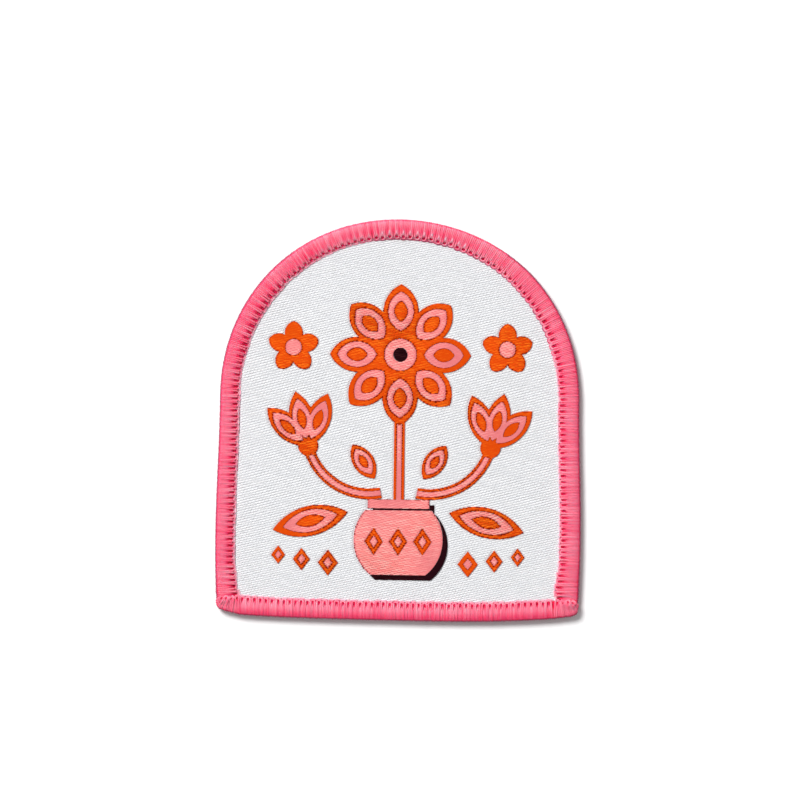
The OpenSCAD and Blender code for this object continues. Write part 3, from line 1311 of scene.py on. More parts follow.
    def _lay(
        self,
        name: str,
        rows: np.ndarray,
        raised: float,
        dip: float,
        tree: bpy.types.NodeTree,
        pick: bpy.types.Object,
        material: bpy.types.Material,
    ) -> bpy.types.Mesh:
        """Lay the picks of one colour.

        Args:
            name: The piece's name.
            rows: One row for each run, as _runs gives them.
            raised: How far the colour stands over the white, in millimetres.
            dip: How much shorter a pick shows than its run, in millimetres.
            tree: The tree that lays picks.
            pick: One pick.
            material: The colour's material.

        Returns:
            The picks as a plain mesh.
        """
        luck = np.random.default_rng(self.seed + len(name))
        count = len(rows)
        x, y, length = rows[:, 0], rows[:, 1], rows[:, 2]
        z = self.cloth_t - self.sheet_drop + raised + undulation(x, y)
        x, y, z = (at + luck.normal(0, by, count) for at, by in zip((x, y, z), self.stray))
        size = np.column_stack([
            np.maximum(length - dip, self.end_mm * self.least_pick),
            self._pitch(y) * luck.uniform(*self.width_range, count),
            self.pick_t * luck.uniform(*self.thickness_range, count),
        ]) * MM
        turn = np.column_stack([np.zeros((count, 2)), luck.normal(0, self.stray_turn, count)])
        source = mesh_from(name, np.column_stack([x, y, z]), [], [], {"size": size, "turn": turn})
        return run_geometry(name, source, tree, {"Pick": pick, "Seed": self.seed, "Thread": material})

    def _dress_plates(self) -> None:
        """Give the raised colours of the frame a deeper colour that shows between the picks, a painted
        shade.
        """
        plates = {"orange_weft": ORANGE_CLOTH, "pink_weft": PINK_CLOTH, "plum_weft": PLUM_CLOTH}
        for node, finish in plates.items():
            plate = bpy.data.objects[node]
            plate.data.materials.clear()
            plate.data.materials.append(finish.material())

    def _sheet(self) -> None:
        """Make the sheet under the picks, from rings that shrink towards the cloth's middle."""
        line = self.outline
        tuck = line.rim(line.band_w - self.sheet_short)
        station_count = len(tuck)
        middle = np.array([0.0, line.arch_y - self.middle_drop])
        shares = [1.0, 0.985, 0.96, 0.94, 0.92, *np.linspace(0.9, 0.03, 30)]
        top, bottom = [], []
        for share in shares:
            ring = middle + (tuck - middle) * share
            face = undulation(ring[:, 0], ring[:, 1]) + self.cloth_t - self.sheet_drop
            back = self.edge_back_z if share > self.edge_share else self.back_z
            top.append(np.column_stack([ring, face]))
            bottom.append(np.column_stack([ring, np.full(station_count, back)]))
        rings = [*reversed(bottom), *top]
        points = np.vstack([*rings, [[*middle, self.back_z]], [[*middle, self.cloth_t - self.sheet_drop]]])
        faces: list[tuple[int, ...]] = []
        for j in range(len(rings) - 1):
            for i in range(station_count):
                after = (i + 1) % station_count
                low, high = j * station_count, (j + 1) * station_count
                faces.append((low + i, low + after, high + after, high + i))
        back_middle, face_middle = len(points) - 2, len(points) - 1
        last = (len(rings) - 1) * station_count
        for i in range(station_count):
            after = (i + 1) % station_count
            faces.append((after, i, back_middle))
            faces.append((last + i, last + after, face_middle))
        mesh = mesh_from("woven_sheet", points, [], faces)
        mesh.shade_smooth()
        sheet = make_piece("woven_sheet", mesh, WHITE_CLOTH.material())
        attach(sheet, "root")
        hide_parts("ground_cloth")
        after = np.roll(tuck, -1, axis=0)


class RimLine:
    """The edging's rim as a closed line that is measured by its length."""

    def __init__(self, points: Points) -> None:
        """Measure the line.

        Args:
            points: The rim's stations, with the first one not repeated.
        """
        self.points = np.vstack([points, points[:1]])
        steps = np.hypot(*np.diff(self.points, axis=0).T)
        self.gone = np.concatenate([[0.0], np.cumsum(steps)])
        self.length = float(self.gone[-1])

    def distance(self, station: Any) -> Any:
        """How far round the line a station is, in millimetres."""
        return np.interp(station, np.arange(len(self.gone)), self.gone)

    def at(self, distance: Any) -> Points:
        """The line's points at distances round it.

        Args:
            distance: Distances, in millimetres.

        Returns:
            One row of x and y for each.
        """
        held = np.mod(distance, self.length)
        x, y = (np.interp(held, self.gone, self.points[:, k]) for k in (0, 1))
        return np.column_stack([x, y])


@dataclass
class Stitches:
    """Where the stitches of the edging lie. Each row of an array is one stitch, and at_rim is how
    far round the rim its middle lies."""

    rim: RimLine
    hole: Points
    at_rim: np.ndarray
    lift: np.ndarray
    spacing: np.ndarray
    arch: np.ndarray
    crown: np.ndarray
    foot: np.ndarray
    thread_pitch: float
    least_threads: int = 4

    def __post_init__(self) -> None:
        """Work out each stitch's directions and its share of the rim."""
        run = self.rim.at(self.at_rim) - self.hole
        self.outwards = run / np.hypot(*run.T)[:, None]
        self.along = np.column_stack([-self.outwards[:, 1], self.outwards[:, 0]])
        ahead = np.mod(np.roll(self.at_rim, -1) - self.at_rim, self.rim.length) / 2
        behind = np.roll(ahead, 1)
        self.rim_start = self.at_rim - behind
        self.rim_room = ahead + behind
        count = np.round(self.rim_room / self.thread_pitch)
        self.threads = np.maximum(self.least_threads, count).astype(int)

    def __len__(self) -> int:
        """How many stitches there are."""
        return len(self.hole)

    def slot(self, k: int, number: int) -> float:
        """Where a thread lies across its stitch, from -0.5 to 0.5."""
        return (number + 0.5) / self.threads[k] - 0.5

    def rim_point(self, k: int, number: int) -> Points:
        """Where a stitch's thread goes over the rim."""
        return self.rim.at(self.rim_start[k] + (self.slot(k, number) + 0.5) * self.rim_room[k])[0]


@dataclass
class Thread:
    """One thread of the edging: its points, and its thickness, as a share of the full one, and its
    shade at each of them."""

    points: Points
    thickness: np.ndarray
    shade: np.ndarray


@dataclass
class MerrowedEdge:
    """The edging: thread that turns over the cloth's edge and under it, locked by a loop at each
    needle hole. Sizes are in millimetres, and distances out are from the edging's inner side."""

    outline: Outline
    cloth_t: float
    side_pitch: float = 1.11
    arch_pitch: float = 1.36
    thread_r: float = 0.205
    thread_pitch: float = 0.37
    needle_out: float = 0.85
    sides: int = 7
    seed: int = 5
    leg_share: float = 0.345
    bed_depth: float = 0.2

    # A stitch starts to belong to the arch at arch_start above the arch's foot and wholly does so
    # arch_reach above that, and likewise for the arch's crown
    arch_start: float = -4.0
    arch_reach: float = 24.0
    crown_start: float = 14.0
    crown_reach: float = 18.0

    # How much the stitches' places vary along the edging, as a share of a stitch, and the needle
    # holes' outwards, and the height and thickness of the threads
    place_stray: float = 0.04
    hole_stray: float = 0.035
    height_stray: float = 0.02
    thickness_stray: float = 0.04

    # A thread's own shade, from 0 to 1, is mean_shade give or take a bit. From even_from outwards it
    # evens out to a share of that bit, even on the straight sides and arch_even on the arch. The two
    # legs of a turn differ by leg_stray, and no thread is deeper than least_shade on its way
    turn_shades: tuple[float, float] = (0.4, 0.75)
    filler_shades: tuple[float, float] = (0.4, 0.8)
    loop_shades: tuple[float, float] = (0.4, 0.6)
    needle_shades: tuple[float, float] = (0.2, 0.9)
    leg_stray: float = 0.08
    least_shade: float = 0.3
    mean_shade: float = 0.59
    even_from: float = 1.6
    even: float = 0.5
    arch_even: float = 0.9

    # The threads up to tail_width from the middle of a stitch, as a share of it, get a painted shade by
    # tail, down the valley of the stitch's middle, and by lee_tail more where the band is turned to the
    # light, and a painted highlight by crown_painted_highlight at the crown. That fades from the first
    # distance of tail_fade over the second
    tail: float = 0.3
    lee_tail: float = 0.55
    crown_painted_highlight: float = 0.6
    tail_width: float = 0.3
    tail_fade: tuple[float, float] = (1.2, 1.9)

    # How far the legs of a turn and the fillers sway to the side
    leg_sway: float = 0.03
    filler_sway: float = 0.05

    # A turn of thread, from the needle hole over the band, round the rim and back underneath. Its tint
    # is painted light and shade: lighter and deeper bands across the band, and the last columns are
    # what the tint gains on the crown and along the foot, painted light and shade there too. Where the
    # tint is under painted_shade_tint, the thread has painted_shade_colour, a painted shade round the rim
    turn_stations: tuple[tuple[float, float, float, float, float], ...] = (
        # out    height  tint    crown   foot
        (0.62,   1.68,   0.12,   0.20,   0.00),
        (0.90,   1.79,   0.06,   0.22,   0.10),
        (1.20,   1.88,   0.06,   0.04,   0.16),
        (1.60,   1.94,   0.09,  -0.22,   0.10),
        (2.10,   1.98,   0.11,  -0.24,  -0.03),
        (2.65,   2.01,   0.07,  -0.02,  -0.17),
        (3.12,   2.01,   0.00,   0.22,  -0.22),
        (3.50,   1.96,  -0.06,   0.34,  -0.20),
        (3.72,   1.79,  -0.90,   0.75,   0.00),
        (3.82,   1.58,  -1.00,   0.75,   0.00),
        (3.87,   1.36,  -1.00,   0.55,   0.00),
        (3.90,   1.10,  -1.00,   0.00,   0.00),
        (3.76,   0.70,  -1.00,   0.00,   0.00),
        (3.45,   0.42,  -0.60,   0.00,   0.00),
        (2.90,   0.31,  -0.10,   0.00,   0.00),
        (2.10,   0.30,   0.00,   0.00,   0.00),
        (1.40,   0.30,   0.00,   0.00,   0.00),
        (1.00,   0.38,   0.00,   0.00,   0.00),
    )
    painted_shade_tint: float = -0.4

    # The fillers climb out of the needle hole between a turn's legs. Each pair is for the straight
    # sides and for the crown: where a filler starts to climb and over what length, how far it lies
    # from the stitch's middle, as a share of its own place, how much lower it is there, and how much
    # painted shade it gets there, down to hollow_shade
    climb_at: tuple[float, float] = (0.90, 0.80)
    climb_length: tuple[float, float] = (0.85, 0.30)
    climb_pinch: tuple[float, float] = (0.45, 0.95)
    climb_sink: tuple[float, float] = (0.28, 0.10)
    climb_painted_hollow: tuple[float, float] = (0.50, 0.25)
    climb_steps: tuple[float, ...] = (0.0, 0.2, 0.4, 0.6, 0.8)
    hollow_shade: float = 0.15

    # The two strands that lock a turn, from one leg round the needle hole to the other, with reach
    # from the hole outwards and across as a share of the stitch's spacing. The outer one is thin and
    # paler by outer_paler, and lies nearly straight along the edge, by the share that outer_straight
    # gives, at outer_reach and outer_height. Along the foot its tint is less by the share outer_foot.
    # Where the band lies between the light, which comes by light_way, and the loops, both are shorter
    # by lee_short, the outer one gets a painted shade of lee_painted_shade, the inner one's tip lies
    # lower by lee_sink, and the needle's thread lies higher by lee_rise
    inner_loop: tuple[tuple[float, float, float, float], ...] = (
        # reach  across  height  tint
        (0.20,  -0.345,  1.72,  -0.10),
        (-0.16, -0.360,  1.58,  -0.05),
        (-0.42, -0.330,  1.44,   0.00),
        (-0.58, -0.200,  1.37,   0.05),
        (-0.63,  0.000,  1.35,   0.08),
        (-0.58,  0.200,  1.37,   0.05),
        (-0.42,  0.330,  1.44,   0.00),
        (-0.16,  0.360,  1.58,  -0.05),
        (0.20,   0.345,  1.72,  -0.10),
    )
    outer_loop: tuple[tuple[float, float, float, float], ...] = (
        # reach  across  height  tint
        (-0.20, -0.500,  1.56,   0.00),
        (-0.50, -0.470,  1.38,   0.10),
        (-0.76, -0.330,  1.26,   0.35),
        (-0.88, -0.130,  1.22,   0.40),
        (-0.88,  0.130,  1.22,   0.40),
        (-0.76,  0.330,  1.26,   0.35),
        (-0.50,  0.470,  1.38,   0.10),
        (-0.20,  0.500,  1.56,   0.00),
    )
    outer_thickness: tuple[float, float] = (0.8, 0.5)
    outer_straight: float = 0.7
    outer_reach: float = -0.84
    outer_height: float = 1.27
    outer_paler: float = 0.1
    outer_foot: float = 0.5
    loop_stray: float = 0.03
    light_way: tuple[float, float] = (-0.63, 0.775)
    lee_short: float = 0.13
    lee_sink: float = 0.1
    lee_painted_shade: float = 0.3
    lee_rise: float = 0.12

    # The way in which the inner side lies in the shade, the cosines from which and over which it
    # starts to, and by how much the outer strand's tip is painted deeper there, as painted shade
    shaded_way: tuple[float, float] = (0.5, 0.87)
    shaded_cosines: tuple[float, float] = (0.6, 0.3)
    shaded_deep: float = 1.2

    # The needle's thread where it shows in a hole, with the share of the stitch's lift that it takes.
    # It lies arch_rise higher on the arch. Its deep crimson is painted shade for the hole
    needle_stations: tuple[tuple[float, float, float, float], ...] = (
        # reach  height  thickness  lifted
        (-0.44,  1.22,   0.80,      1.12),
        (-0.10,  1.33,   0.90,      1.12),
        (0.20,   1.38,   0.85,      1.12),
        (0.50,   1.34,   0.60,      1.12),
    )
    arch_rise: float = 0.06

    # The pale end of thread that shows over each needle hole at the crown, where the band faces end_way
    # to within the cosine end_near. Its pale shade is a painted highlight. Its thickness varies by
    # end_stray
    end_stations: tuple[tuple[float, float, float, float], ...] = (
        # reach  height  thickness  shade
        (0.26,   1.74,   0.85,      0.55),
        (0.40,   1.93,   0.85,      0.72),
        (0.57,   2.05,   0.78,      0.80),
        (0.78,   2.09,   0.62,      0.72),
        (1.02,   2.06,   0.45,      0.50),
    )
    end_way: tuple[float, float] = (0.12, 0.993)
    end_near: float = 0.963
    end_stray: float = 0.08

    # The stitches that cross in a lower corner: the needle hole's place in from the side's rim and
    # down from the band's inner side, how far round the corner's rim the turn goes over, and how much
    # of crossing_lift it is lifted. The lift fades from the first distance of lift_fade over the
    # second. Their threads are crossing_full times as thick
    crossing: tuple[tuple[float, float, float, float], ...] = (
        # in     down   round  lifted
        (3.70,  -0.12,  0.10,  0.0),
        (1.05,   0.92,  0.33,  1.05),
        (2.00,   0.82,  0.53,  1.00),
        (3.05,   0.80,  0.73,  0.70),
        (4.10,   0.78,  0.91,  0.25),
    )
    crossing_lift: float = 0.68
    lift_fade: tuple[float, float] = (0.6, 2.2)
    crossing_full: float = 1.3

    # A stitch's spacing at the most, as a share of arch_pitch, and where stitches cross, as a share
    # of side_pitch
    widest: float = 1.1
    crossing_width: float = 0.95

    # How far the last stitches of the sides reach in further than the rest
    pull: tuple[float, float] = (0.45, 0.75)
    pull_length: float = 7.0

    # How much nearer to the rim the needle holes lie on the left side, the arch's flanks, its crown
    # and the foot
    hole_shift: tuple[float, float, float, float] = (0.33, -0.06, 0.22, 0.14)

    def build(self) -> None:
        """Make the turns, the loops and the bed under them."""
        tree = thread_tree()
        edging, loop, needle = EDGE_THREAD.material(), LOOP_THREAD.material(), NEEDLE_THREAD.material()
        stitches = self._stitches()
        for name, threads, material, node in (
            ("edge_turns", self._turns(stitches), edging, "merrowed_edge"),
            ("edge_fillers", self._fillers(stitches), edging, None),
            ("purl_loops", self._loops(stitches) + self._ends(stitches), loop, "purl_chain"),
            ("needle_threads", self._needle_threads(stitches), needle, None),
        ):
            source = self._threads_mesh(name, threads)
            mesh = run_geometry(name, source, tree, {
                "Radius": self.thread_r * MM, "Sides": self.sides, "Thread": material})
            piece = make_piece(name, mesh)
            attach(piece, "root")
            if node is not None:
                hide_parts(node)
            log.info("%s: %d threads, %d faces", name, len(threads), len(mesh.polygons))
        self._bed()

    def _stitches(self) -> Stitches:
        """Place the stitches in order round the patch: the long way, the left corner, the foot and
        the right corner.

        Returns:
            The stitches.
        """
        line = self.outline
        rim = RimLine(line.rim(line.band_w))
        long_way, foot = line.long_way(0.0), line.foot(0.0)
        runs = [
            self._run(long_way, line.long_way(line.band_w), 0, rim),
            self._crossing(-1, len(long_way), rim),
            self._run(foot, line.foot(line.band_w), len(long_way) + line.corner_steps, rim),
            self._crossing(1, len(long_way) + line.corner_steps + len(foot), rim),
        ]
        hole, at_rim, lift = (np.concatenate([run[k] for run in runs]) for k in range(3))
        gap = np.hypot(*(np.roll(hole, -1, axis=0) - hole).T)
        apart = np.minimum((gap + np.roll(gap, 1)) / 2, self.arch_pitch * self.widest)
        spacing = np.where(lift > 0, self.side_pitch * self.crossing_width, apart)
        up = hole[:, 1]
        arch, crown = self._arch(up), self._crown(up)
        foot = ease((line.corner_y - up) / line.inner_corner_r) * (np.abs(hole[:, 0]) < line.corner_x)
        return Stitches(rim, hole, at_rim, lift, spacing, arch, crown, foot, self.thread_pitch)

    def _arch(self, y: np.ndarray) -> np.ndarray:
        """How much each place belongs to the arch, where the stitches lie wider apart."""
        return ease((y - self.outline.arch_y - self.arch_start) / self.arch_reach)

    def _crown(self, y: np.ndarray) -> np.ndarray:
        """How much each place belongs to the arch's crown."""
        return ease((y - self.outline.arch_y - self.crown_start) / self.crown_reach)

    def _run(self, inner: Points, outer: Points, station: int, rim: RimLine) -> tuple[np.ndarray, ...]:
        """Place the stitches of a run.

        Args:
            inner: The run's line at the edging's inner side.
            outer: The run's line at the rim.
            station: The run's first station on the rim.
            rim: The rim.

        Returns:
            The needle holes, how far round the rim the stitches are, and their lifts.
        """
        line = self.outline
        luck = np.random.default_rng(self.seed + len(inner))
        middle = (inner + outer) / 2
        steps = np.hypot(*np.diff(middle, axis=0).T)
        arch = self._arch(middle[:-1, 1])
        gone = np.concatenate([[0.0], np.cumsum(steps / mix(self.side_pitch, self.arch_pitch, arch))])
        count = round(gone[-1])
        at = (np.arange(count) + 0.5 + luck.normal(0, self.place_stray, count)) * gone[-1] / count
        place = np.interp(at, gone, np.arange(len(gone)))
        first = np.minimum(np.floor(place).astype(int), len(inner) - 2)
        share = (place - first)[:, None]
        start = mix(inner[first], inner[first + 1], share)
        end = mix(outer[first], outer[first + 1], share)
        near_corner = ease((line.corner_y + self.pull_length - start[:, 1]) / self.pull_length)
        on_side = start[:, 1] > line.corner_y - line.inner_corner_r / 2
        pull = np.where(start[:, 0] < 0, *self.pull) * near_corner * on_side
        arch, crown = self._arch(start[:, 1]), self._crown(start[:, 1])
        regions = (on_side & (start[:, 0] < 0)) * (1 - arch), arch * (1 - crown), crown, ~on_side
        shift = sum(by * region for by, region in zip(self.hole_shift, regions))
        depth = self.needle_out + shift - pull + luck.normal(0, self.hole_stray, count)
        hole = start + (end - start) * (depth / line.band_w)[:, None]
        return hole, rim.distance(station + place), np.zeros(count)

    def _crossing(self, side: int, station: int, rim: RimLine) -> tuple[np.ndarray, ...]:
        """Place the stitches that cross in a lower corner.

        Args:
            side: -1 for the left corner, 1 for the right one.
            station: The corner's first station on the rim.
            rim: The rim.

        Returns:
            The needle holes, how far round the rim the stitches are, and their lifts.
        """
        line = self.outline
        inwards, down, around, lifted = np.array(self.crossing).T
        hole = np.column_stack([
            side * (line.half_width(line.corner_y) - inwards),
            line.corner_y - line.inner_corner_r - down,
        ])
        start, end = rim.distance(station), rim.distance(station + line.corner_steps)
        at_rim = mix(start, end, around) if side < 0 else mix(end, start, around)
        return hole[::-side], at_rim[::-side], (lifted * self.crossing_lift)[::-side]

    def _place(self, stitches: Stitches, k: int, number: int, out: np.ndarray, pinch: np.ndarray,
               height: np.ndarray) -> Points:
        """Lead a thread from beside its needle hole to the rim.

        Args:
            stitches: The stitches.
            k: The stitch's number.
            number: The thread's number in the stitch.
            out: Distances outwards from the edging's inner side, on a band of full width.
            pinch: How far from the stitch's middle the thread lies, as a share of where it would
                lie if it ran straight.
            height: Heights.

        Returns:
            One row of x, y and z for each place.
        """
        beside = stitches.along[k] * stitches.slot(k, number) * stitches.spacing[k]
        share = (out - self.needle_out) / (self.outline.band_w - self.needle_out)
        start = stitches.hole[k] + beside
        away = stitches.rim_point(k, number) - start
        away *= 1 - self.thread_r * (1 / np.hypot(*away) - 1 / (self.outline.band_w - self.needle_out))
        flat = start + np.outer(np.maximum(share, 0), away)
        flat += np.outer(np.minimum(out - self.needle_out, 0), stitches.outwards[k])
        flat -= np.outer(1 - pinch, beside)
        fade_from, fade_over = self.lift_fade
        lift = stitches.lift[k] * (1 - ease((out - fade_from) / fade_over))
        return np.column_stack([flat, height + lift])

    def _tone(self, shade: float, arch: float, out: np.ndarray) -> np.ndarray:
        """A thread's own shade at distances out, evened towards the rim, and less so on the arch."""
        share = mix(1.0, mix(self.even, self.arch_even, arch), ease(out - self.even_from))
        return self.mean_shade + (shade - self.mean_shade) * share

    @staticmethod
    def _sway(out: np.ndarray, reach: float, luck: np.random.Generator) -> np.ndarray:
        """How far a thread sways to the side at distances out, in a wave of its own."""
        return np.sin(out * luck.uniform(1.0, 1.8) + luck.uniform(0, 6)) * reach

    def _crossed(self, stitches: Stitches, k: int) -> float:
        """How much a stitch is one of those that cross."""
        return min(1.0, stitches.lift[k] / self.crossing_lift)

    def _painted_light(self, stitches: Stitches, k: int) -> np.ndarray:
        """The painted light and shade that a turn's stations add to the shade of a stitch's threads."""
        tint, crown, foot = np.array(self.turn_stations).T[2:]
        return tint + crown * stitches.crown[k] + foot * stitches.foot[k]

    def _turns(self, stitches: Stitches) -> list[Thread]:
        """Lead the looping thread's two legs of each stitch over the band.

        Args:
            stitches: The stitches.

        Returns:
            The threads.
        """
        luck = np.random.default_rng(self.seed + 1)
        out, height = np.array(self.turn_stations).T[:2]
        threads = []
        for k in range(len(stitches)):
            shade = luck.uniform(*self.turn_shades)
            # Painted light and shade from the turn's stations
            own_tone_and_painted_light = self._painted_light(stitches, k)
            full = mix(1.0, self.crossing_full, self._crossed(stitches, k))
            thick = luck.normal(1.0, self.thickness_stray) * full
            last = stitches.threads[k] - 1
            at_hole = self.leg_share / abs(stitches.slot(k, 0))
            for number in (0, last):
                pinch = mix(at_hole, 1.0, ease((out - 0.9) / 1.6))
                sway = self._sway(out, self.leg_sway, luck)
                lift = luck.normal(0, self.height_stray) * ease(out / 1.5)
                tone = self._tone(shade + luck.normal(0, self.leg_stray), stitches.arch[k], out) + own_tone_and_painted_light
                # Under painted_shade_tint the turn takes painted_shade_colour, painted shade round the rim
                threads.append(Thread(
                    points=self._place(stitches, k, number, out, pinch + sway, height + lift),
                    thickness=thick * (1 + 0.1 * ease((out - 1) / 2)),
                    shade=np.where(own_tone_and_painted_light < self.painted_shade_tint, 0.0, np.maximum(tone, self.least_shade)),
                ))
        return threads

    def _loops(self, stitches: Stitches) -> list[Thread]:
        """Lead the two strands of the loop round each needle hole.

        Args:
            stitches: The stitches.

        Returns:
            The threads.
        """
        luck = np.random.default_rng(self.seed + 3)
        threads = []
        start, reach = self.shaded_cosines
        shaded = ease((stitches.outwards @ np.array(self.shaded_way) - start) / reach)
        lee = np.maximum(stitches.outwards @ np.array(self.light_way), 0)
        inner_reach, inner_across, inner_height, inner_tint = np.array(self.inner_loop).T
        outer_reach, outer_across, outer_height, outer_tint = np.array(self.outer_loop).T
        for k in range(len(stitches)):
            # The loop's own tone
            own_tone_and_painted_light = luck.uniform(*self.loop_shades)
            length = 1 - self.lee_short * lee[k]
            # Painted shade on the outer strand in the lee
            deep = self.lee_painted_shade * lee[k] * (1 - shaded[k])
            crossed = stitches.lift[k] > 0
            sunk = inner_height - self.lee_sink * lee[k] * ease((0.2 - inner_reach) / 0.8)
            strands = [(inner_reach, inner_across, sunk, 1.0, own_tone_and_painted_light + inner_tint * (not crossed))]
            if not crossed:
                flatter = self.outer_straight * (1 - shaded[k])
                straight = mix(outer_reach, self.outer_reach, flatter)
                low = mix(outer_height, self.outer_height, flatter)
                tip = ease((-outer_reach - 0.4) / 0.4)
                paler = outer_tint * (1 - self.outer_foot * stitches.foot[k])
                # Painted shade on the outer strand's tip where the inner side lies in the shade
                paler -= self.shaded_deep * shaded[k] * tip
                thin = mix(*self.outer_thickness, shaded[k])
                shade = own_tone_and_painted_light + self.outer_paler + paler - deep * tip
                strands.append((straight, outer_across, low, thin, shade))
            for reach, across, height, thickness, shade in strands:
                flat = (
                    stitches.hole[k]
                    + np.outer(reach * length + luck.normal(0, self.loop_stray), stitches.outwards[k])
                    + np.outer(across * stitches.spacing[k], stitches.along[k])
                )
                threads.append(Thread(
                    points=np.column_stack([flat, height + stitches.lift[k]]),
                    thickness=np.full(len(reach), thickness * luck.normal(0.97, self.thickness_stray)),
                    shade=shade,
                ))
        return threads

    def _needle_threads(self, stitches: Stitches) -> list[Thread]:
        """Lead the needle's thread down through each hole, where a short run of it shows.

        Its deep crimson is painted shade for the hole.

        Args:
            stitches: The stitches.

        Returns:
            The threads.
        """
        luck = np.random.default_rng(self.seed + 4)
        reach, height, thickness, under_lift = np.array(self.needle_stations).T
        rise = np.maximum(stitches.outwards @ np.array(self.light_way), 0) * self.lee_rise
        rise = rise + self.arch_rise * stitches.arch
        return [
            Thread(
                points=np.column_stack([
                    stitches.hole[k] + np.outer(reach, stitches.outwards[k]),
                    height + rise[k] + stitches.lift[k] * under_lift,
                ]),
                thickness=thickness,
                shade=np.full(len(reach), luck.uniform(*self.needle_shades)),
            )
            for k in range(len(stitches))
        ]

    def _ends(self, stitches: Stitches) -> list[Thread]:
        """Lay the pale ends of thread that show over the needle holes at the crown.

        Their pale shade is a painted highlight.

        Args:
            stitches: The stitches.

        Returns:
            The threads.
        """
        luck = np.random.default_rng(self.seed + 6)
        reach, height, thickness, shade = np.array(self.end_stations).T
        return [
            Thread(
                points=np.column_stack([
                    stitches.hole[k] + np.outer(reach, stitches.outwards[k]),
                    height + luck.normal(0, self.height_stray),
                ]),
                thickness=thickness * luck.normal(1.0, self.end_stray),
                shade=shade,
            )
            for k in np.flatnonzero(stitches.outwards @ np.array(self.end_way) > self.end_near)
        ]

    def _fillers(self, stitches: Stitches) -> list[Thread]:
        """Lead the threads that come out of each needle hole and fill the band between the legs.

        Args:
            stitches: The stitches.

        Returns:
            The threads.
        """
        luck = np.random.default_rng(self.seed + 2)
        lee = np.maximum(stitches.outwards @ np.array(self.light_way), 0)
        # Painted shade down each stitch's middle, more in the lee, and a painted highlight at the crown
        tails = (self.tail + self.lee_tail * lee) * (1 - stitches.foot) * (1 - stitches.crown)
        tails -= self.crown_painted_highlight * stitches.crown
        return [
            self._filler(stitches, k, number, tails[k], luck)
            for k in range(len(stitches))
            for number in range(1, stitches.threads[k] - 1)
        ]

    def _filler(self, stitches: Stitches, k: int, number: int, tail: float,
                luck: np.random.Generator) -> Thread:
        """Lead one filler out of its needle hole and over the band.

        Args:
            stitches: The stitches.
            k: The stitch's number.
            number: The thread's number in the stitch.
            tail: The painted shade of the stitch's middle near the needle hole, a painted highlight below
                0.
            luck: Gives the random draws.

        Returns:
            The thread.
        """
        out, height = np.array(self.turn_stations).T[:2]
        climb = np.array(self.climb_steps)
        crossed = self._crossed(stitches, k)
        steep = max(stitches.arch[k] * mix(0.2, 1.0, stitches.crown[k]), crossed)
        climb_at = mix(*self.climb_at, steep) + luck.normal(0, 0.04)
        climb_length = mix(*self.climb_length, steep) * luck.uniform(0.7, 1.3)
        early = climb_at + climb_length * climb
        rest = out > climb_at + climb_length
        top = int(np.argmax(out))
        rest[top:] = True
        path_out = np.concatenate([early, out[rest]])
        # colour holds the painted light and shade of the turn's stations
        level, colour = (
            np.concatenate([np.interp(early, out[:top], row[:top]), row[rest]])
            for row in (height, self._painted_light(stitches, k))
        )
        risen = np.concatenate([ease(climb), np.ones(rest.sum())])
        pinch = mix(mix(*self.climb_pinch, steep), 1.0, ease((path_out - climb_at) / 1.4))
        sway = self._sway(path_out, self.filler_sway, luck)
        sink = (1 - risen) * mix(*self.climb_sink, steep)
        # Painted shade while the filler is still low in the needle hole
        painted_hollow = (1 - risen) * mix(*self.climb_painted_hollow, steep)
        middle = max(0.0, 1 - abs(stitches.slot(k, number)) / self.tail_width)
        start, reach = self.tail_fade
        # Painted shade down the stitch's middle, a painted highlight at the crown
        painted_hollow += tail * middle * (1 - ease((path_out - start) / reach)) * (1 - crossed)
        shade = self._tone(luck.uniform(*self.filler_shades), stitches.arch[k], path_out)
        shade = shade + colour - painted_hollow
        full = mix(1.0, self.crossing_full, crossed)
        least = mix(self.least_shade, self.hollow_shade, ease(painted_hollow / 0.3))
        level = level - sink + luck.normal(0, self.height_stray)
        return Thread(
            points=self._place(stitches, k, number, path_out, pinch + sway, level),
            thickness=mix(0.5, full, risen) * luck.normal(1.0, self.thickness_stray),
            shade=np.where(colour < self.painted_shade_tint, 0.0, np.maximum(shade, least)),
        )

    @staticmethod
    def _threads_mesh(name: str, threads: list[Thread]) -> bpy.types.Mesh:
        """Join threads into one mesh of edges that carries what the thread tree reads.

        Args:
            name: The mesh's name.
            threads: The threads.

        Returns:
            The mesh.
        """
        edges, along = [], []
        first = 0
        for thread in threads:
            count = len(thread.points)
            steps = np.linalg.norm(np.diff(thread.points, axis=0), axis=1)
            along.append(np.concatenate([[0.0], np.cumsum(steps)]))
            edges += [(first + i, first + i + 1) for i in range(count - 1)]
            first += count
        return mesh_from(name, np.vstack([thread.points for thread in threads]), edges, [], {
            "along": np.concatenate(along),
            "thickness": np.concatenate([thread.thickness for thread in threads]),
            "shade": np.clip(np.concatenate([thread.shade for thread in threads]), 0, 1),
        })

    def _bed(self) -> None:
        """Make the bed of thread under the turns, a closed ring that fills the band.

        Its deep crimson, where it shows in the needle holes and between the legs, is painted shade.
        """
        line = self.outline
        depth = self.bed_depth
